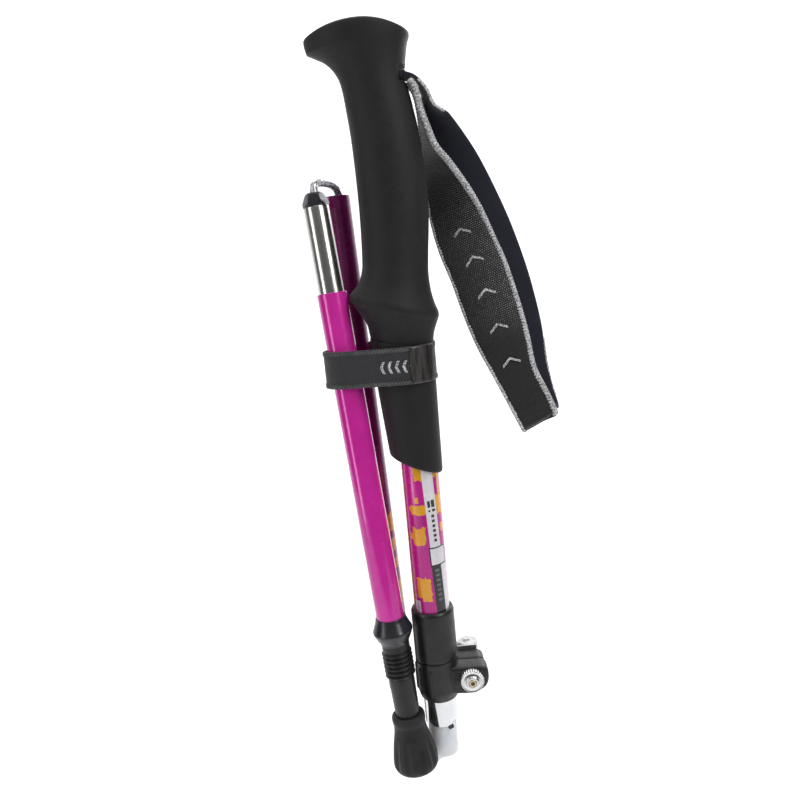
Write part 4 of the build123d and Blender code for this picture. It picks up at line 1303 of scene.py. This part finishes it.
def build():
    settle(make_grip(), "handle", "eva_foam", "grip_foam")
    settle(make_lower_foam(), "handle", "eva_foam", "lower_foam")
    upper = tube_piece("upper_tube_look", UPPER_R, UPPER_BORE, UPPER_END, UPPER_TOP, upper_tube_look())
    settle(upper, "handle", "painted_upper", "upper_tube")
    settle(joined("clamp_collar_look", [make_collar(), *make_ear()]), "handle", "black_plastic",
           "clamp_collar")
    settle(make_bolt_head(), "handle", "steel", "clamp_bolt")
    settle(make_nut(), "nut", "chrome", "clamp_nut")
    settle(make_lever(), "lever", "lever_grey", "clamp_lever")
    settle(make_ferrule(), "extension", "chrome", "ferrule")
    settle(make_socket(), "extension", "white_nylon", "socket_sleeve")

    mid_end = -MID_TUBE_LENGTH
    steel_mid = steel_look("mid_sleeve_look", 0.66, 0.2, MID_AXES, MID_TOP, tint=(1.0, 0.98, 0.94))
    steel_tip = steel_look("tip_sleeve_look", 0.66, 0.2, TIP_AXES, TIP_TOP, tint=(1.0, 0.98, 0.94))
    mid = tube_piece("mid_tube_look", SECTION_R, SECTION_BORE, mid_end, 0.0,
                     middle_tube_look(MID_TOP, MID_AXES),
                     MID_TOP, MID_AXES)
    settle(mid, "middle", "painted_middle", "mid_tube")
    sleeve = tube_piece("mid_joint_sleeve_look", JOINT_R, JOINT_BORE, mid_end - JOINT_SHOWING,
                        mid_end + JOINT_HELD,
                        steel_mid, MID_TOP, MID_AXES)
    settle(sleeve, "middle", "steel", "mid_joint_sleeve")
    cap = make_cap("mid_joint_cap_look", mid_end - JOINT_SHOWING, -1, MID_TOP, MID_AXES)
    settle(cap, "middle", "black_plastic", "mid_joint_cap")

    settle(make_cap("tip_joint_cap_look", -CAP_LENGTH, 1, TIP_TOP, TIP_AXES), "tip", "black_plastic",
           "tip_joint_cap")
    sleeve = tube_piece("tip_joint_sleeve_look", JOINT_R, JOINT_BORE, TIP_TUBE_TOP - JOINT_HELD, -CAP_LENGTH,
                        steel_tip, TIP_TOP, TIP_AXES)
    settle(sleeve, "tip", "steel", "tip_joint_sleeve")
    tip = tube_piece("tip_tube_look", SECTION_R, SECTION_BORE, TIP_TUBE_END, TIP_TUBE_TOP, tip_tube_look(),
                     TIP_TOP, TIP_AXES)
    settle(tip, "tip", "painted_tip", "tip_tube")
    settle(make_ring(), "tip", "black_plastic", "tip_ring")
    settle(make_stem(), "tip", "black_plastic", "tip_stem")
    settle(make_foot(), "foot", "foot_rubber", "rubber_foot")

    loop = make_upper_loop()
    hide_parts("upper_loop")
    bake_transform(loop)
    loop = make_lower_loop()
    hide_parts("lower_loop")
    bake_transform(loop)

    right, left = make_band()
    settle(right, "handle", "hook_loop", "bundle_strap")
    settle(left, "handle", "hook_loop")
    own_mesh(left)

    stub = ribbon("strap_anchor_look", [(0.6, 0, 48.5, *DEPTH, 13.0, 3.8), (4.6, 0, 48.5, *DEPTH, 14.0, 3.6),
                                        (8.8, 0, 48.4, *DEPTH, 15.0, 2.6)], WEB)
    settle(stub, "handle", "webbing", "strap_anchor")
    webbing, edges = make_webbing()
    settle(webbing, "wrist", "webbing", "strap_webbing")
    pad, piping = make_pad()
    settle(pad, "wrist", "pad_mesh", "strap_pad")
    marks = make_chevrons(PAD_STATIONS, 5, 0.46, 0.72, 9.0, 3.0, SILVER, 2.2)
    for name, parts in (("web_edging", edges), ("pad_piping", piping), ("pad_chevrons", marks)):
        settle(joined(name, parts), "wrist", "webbing")


# ------------------------------------------------------------------- stage ---
def make_stage():
    """A pale floor that sweeps up behind, and soft studio light."""
    floor_z, back_y, bend = -1.15, 0.9, 0.35
    profile = [(-2.5, floor_z), (back_y - bend, floor_z)]
    for t in np.linspace(0, math.pi / 2, 12):
        profile.append((back_y - bend + bend * math.sin(t), floor_z + bend * (1 - math.cos(t))))
    profile.append((back_y, 3.0))
    vertices = [(x / MM, y / MM, z / MM) for y, z in profile for x in (-3.0, 3.0)]
    faces = [(2 * i, 2 * i + 1, 2 * i + 3, 2 * i + 2) for i in range(len(profile) - 1)]
    look = Look("floor_look", specular=0.2)
    look.give(color=look.mix(look.noise(3, 3), (0.90, 0.90, 0.90), (0.93, 0.93, 0.93)))
    look.give(rough=look.between(look.noise(20, 3), 0.3, 0.7, 0.7, 0.8))
    look.give(glow=0.45, glow_color=(0.97, 0.98, 1.0))
    floor = new_object("floor", vertices, faces, look.material)


def make_light(name, place, target, size, power_w, size_y=None):
    data = bpy.data.lights.new(name, "AREA")
    data.shape = "RECTANGLE"
    data.size = size
    data.size_y = size_y or size
    data.energy = power_w
    light = bpy.data.objects.new(name, data)
    light.location = place
    aim = Vector(target) - Vector(place)
    light.rotation_euler = aim.to_track_quat("-Z", "Y").to_euler()
    bpy.context.collection.objects.link(light)


def make_lights():
    """Tall soft boxes either side with dark between them, so that metal shows bright and dark bands."""
    world = bpy.data.worlds.new("studio")
    world.use_nodes = True
    tree = world.node_tree
    ground = tree.nodes["Background"]
    coords = tree.nodes.new("ShaderNodeTexCoord")
    parts = tree.nodes.new("ShaderNodeSeparateXYZ")
    ramp = tree.nodes.new("ShaderNodeValToRGB")
    ramp.color_ramp.elements[0].position, ramp.color_ramp.elements[0].color = 0.40, (0.16, 0.16, 0.165, 1)
    ramp.color_ramp.elements[1].position, ramp.color_ramp.elements[1].color = 0.85, (1.0, 1.0, 1.0, 1)
    half = tree.nodes.new("ShaderNodeMath")
    half.operation = "MULTIPLY_ADD"
    half.inputs[1].default_value, half.inputs[2].default_value = 0.5, 0.5
    tree.links.new(coords.outputs["Generated"], parts.inputs[0])
    tree.links.new(parts.outputs["Z"], half.inputs[0])
    tree.links.new(half.outputs[0], ramp.inputs[0])
    tree.links.new(ramp.outputs[0], ground.inputs["Color"])
    ground.inputs["Strength"].default_value = 0.3
    bpy.context.scene.world = world
    bpy.context.scene.view_settings.view_transform = "Standard"
    target = (0, 0, -0.11)
    make_light("key", (0.62, -0.62, 0.55), target, 0.34, 7.4, size_y=1.1)
    make_light("fill", (-0.85, -0.50, 0.1), target, 0.28, 3.6, size_y=1.3)
    make_light("top", (-0.1, 0.1, 1.0), target, 0.8, 5.0)
    make_light("back", (0.5, 0.6, 0.35), target, 0.5, 2.6)


dress_frame()
build()
make_stage()
make_lights()
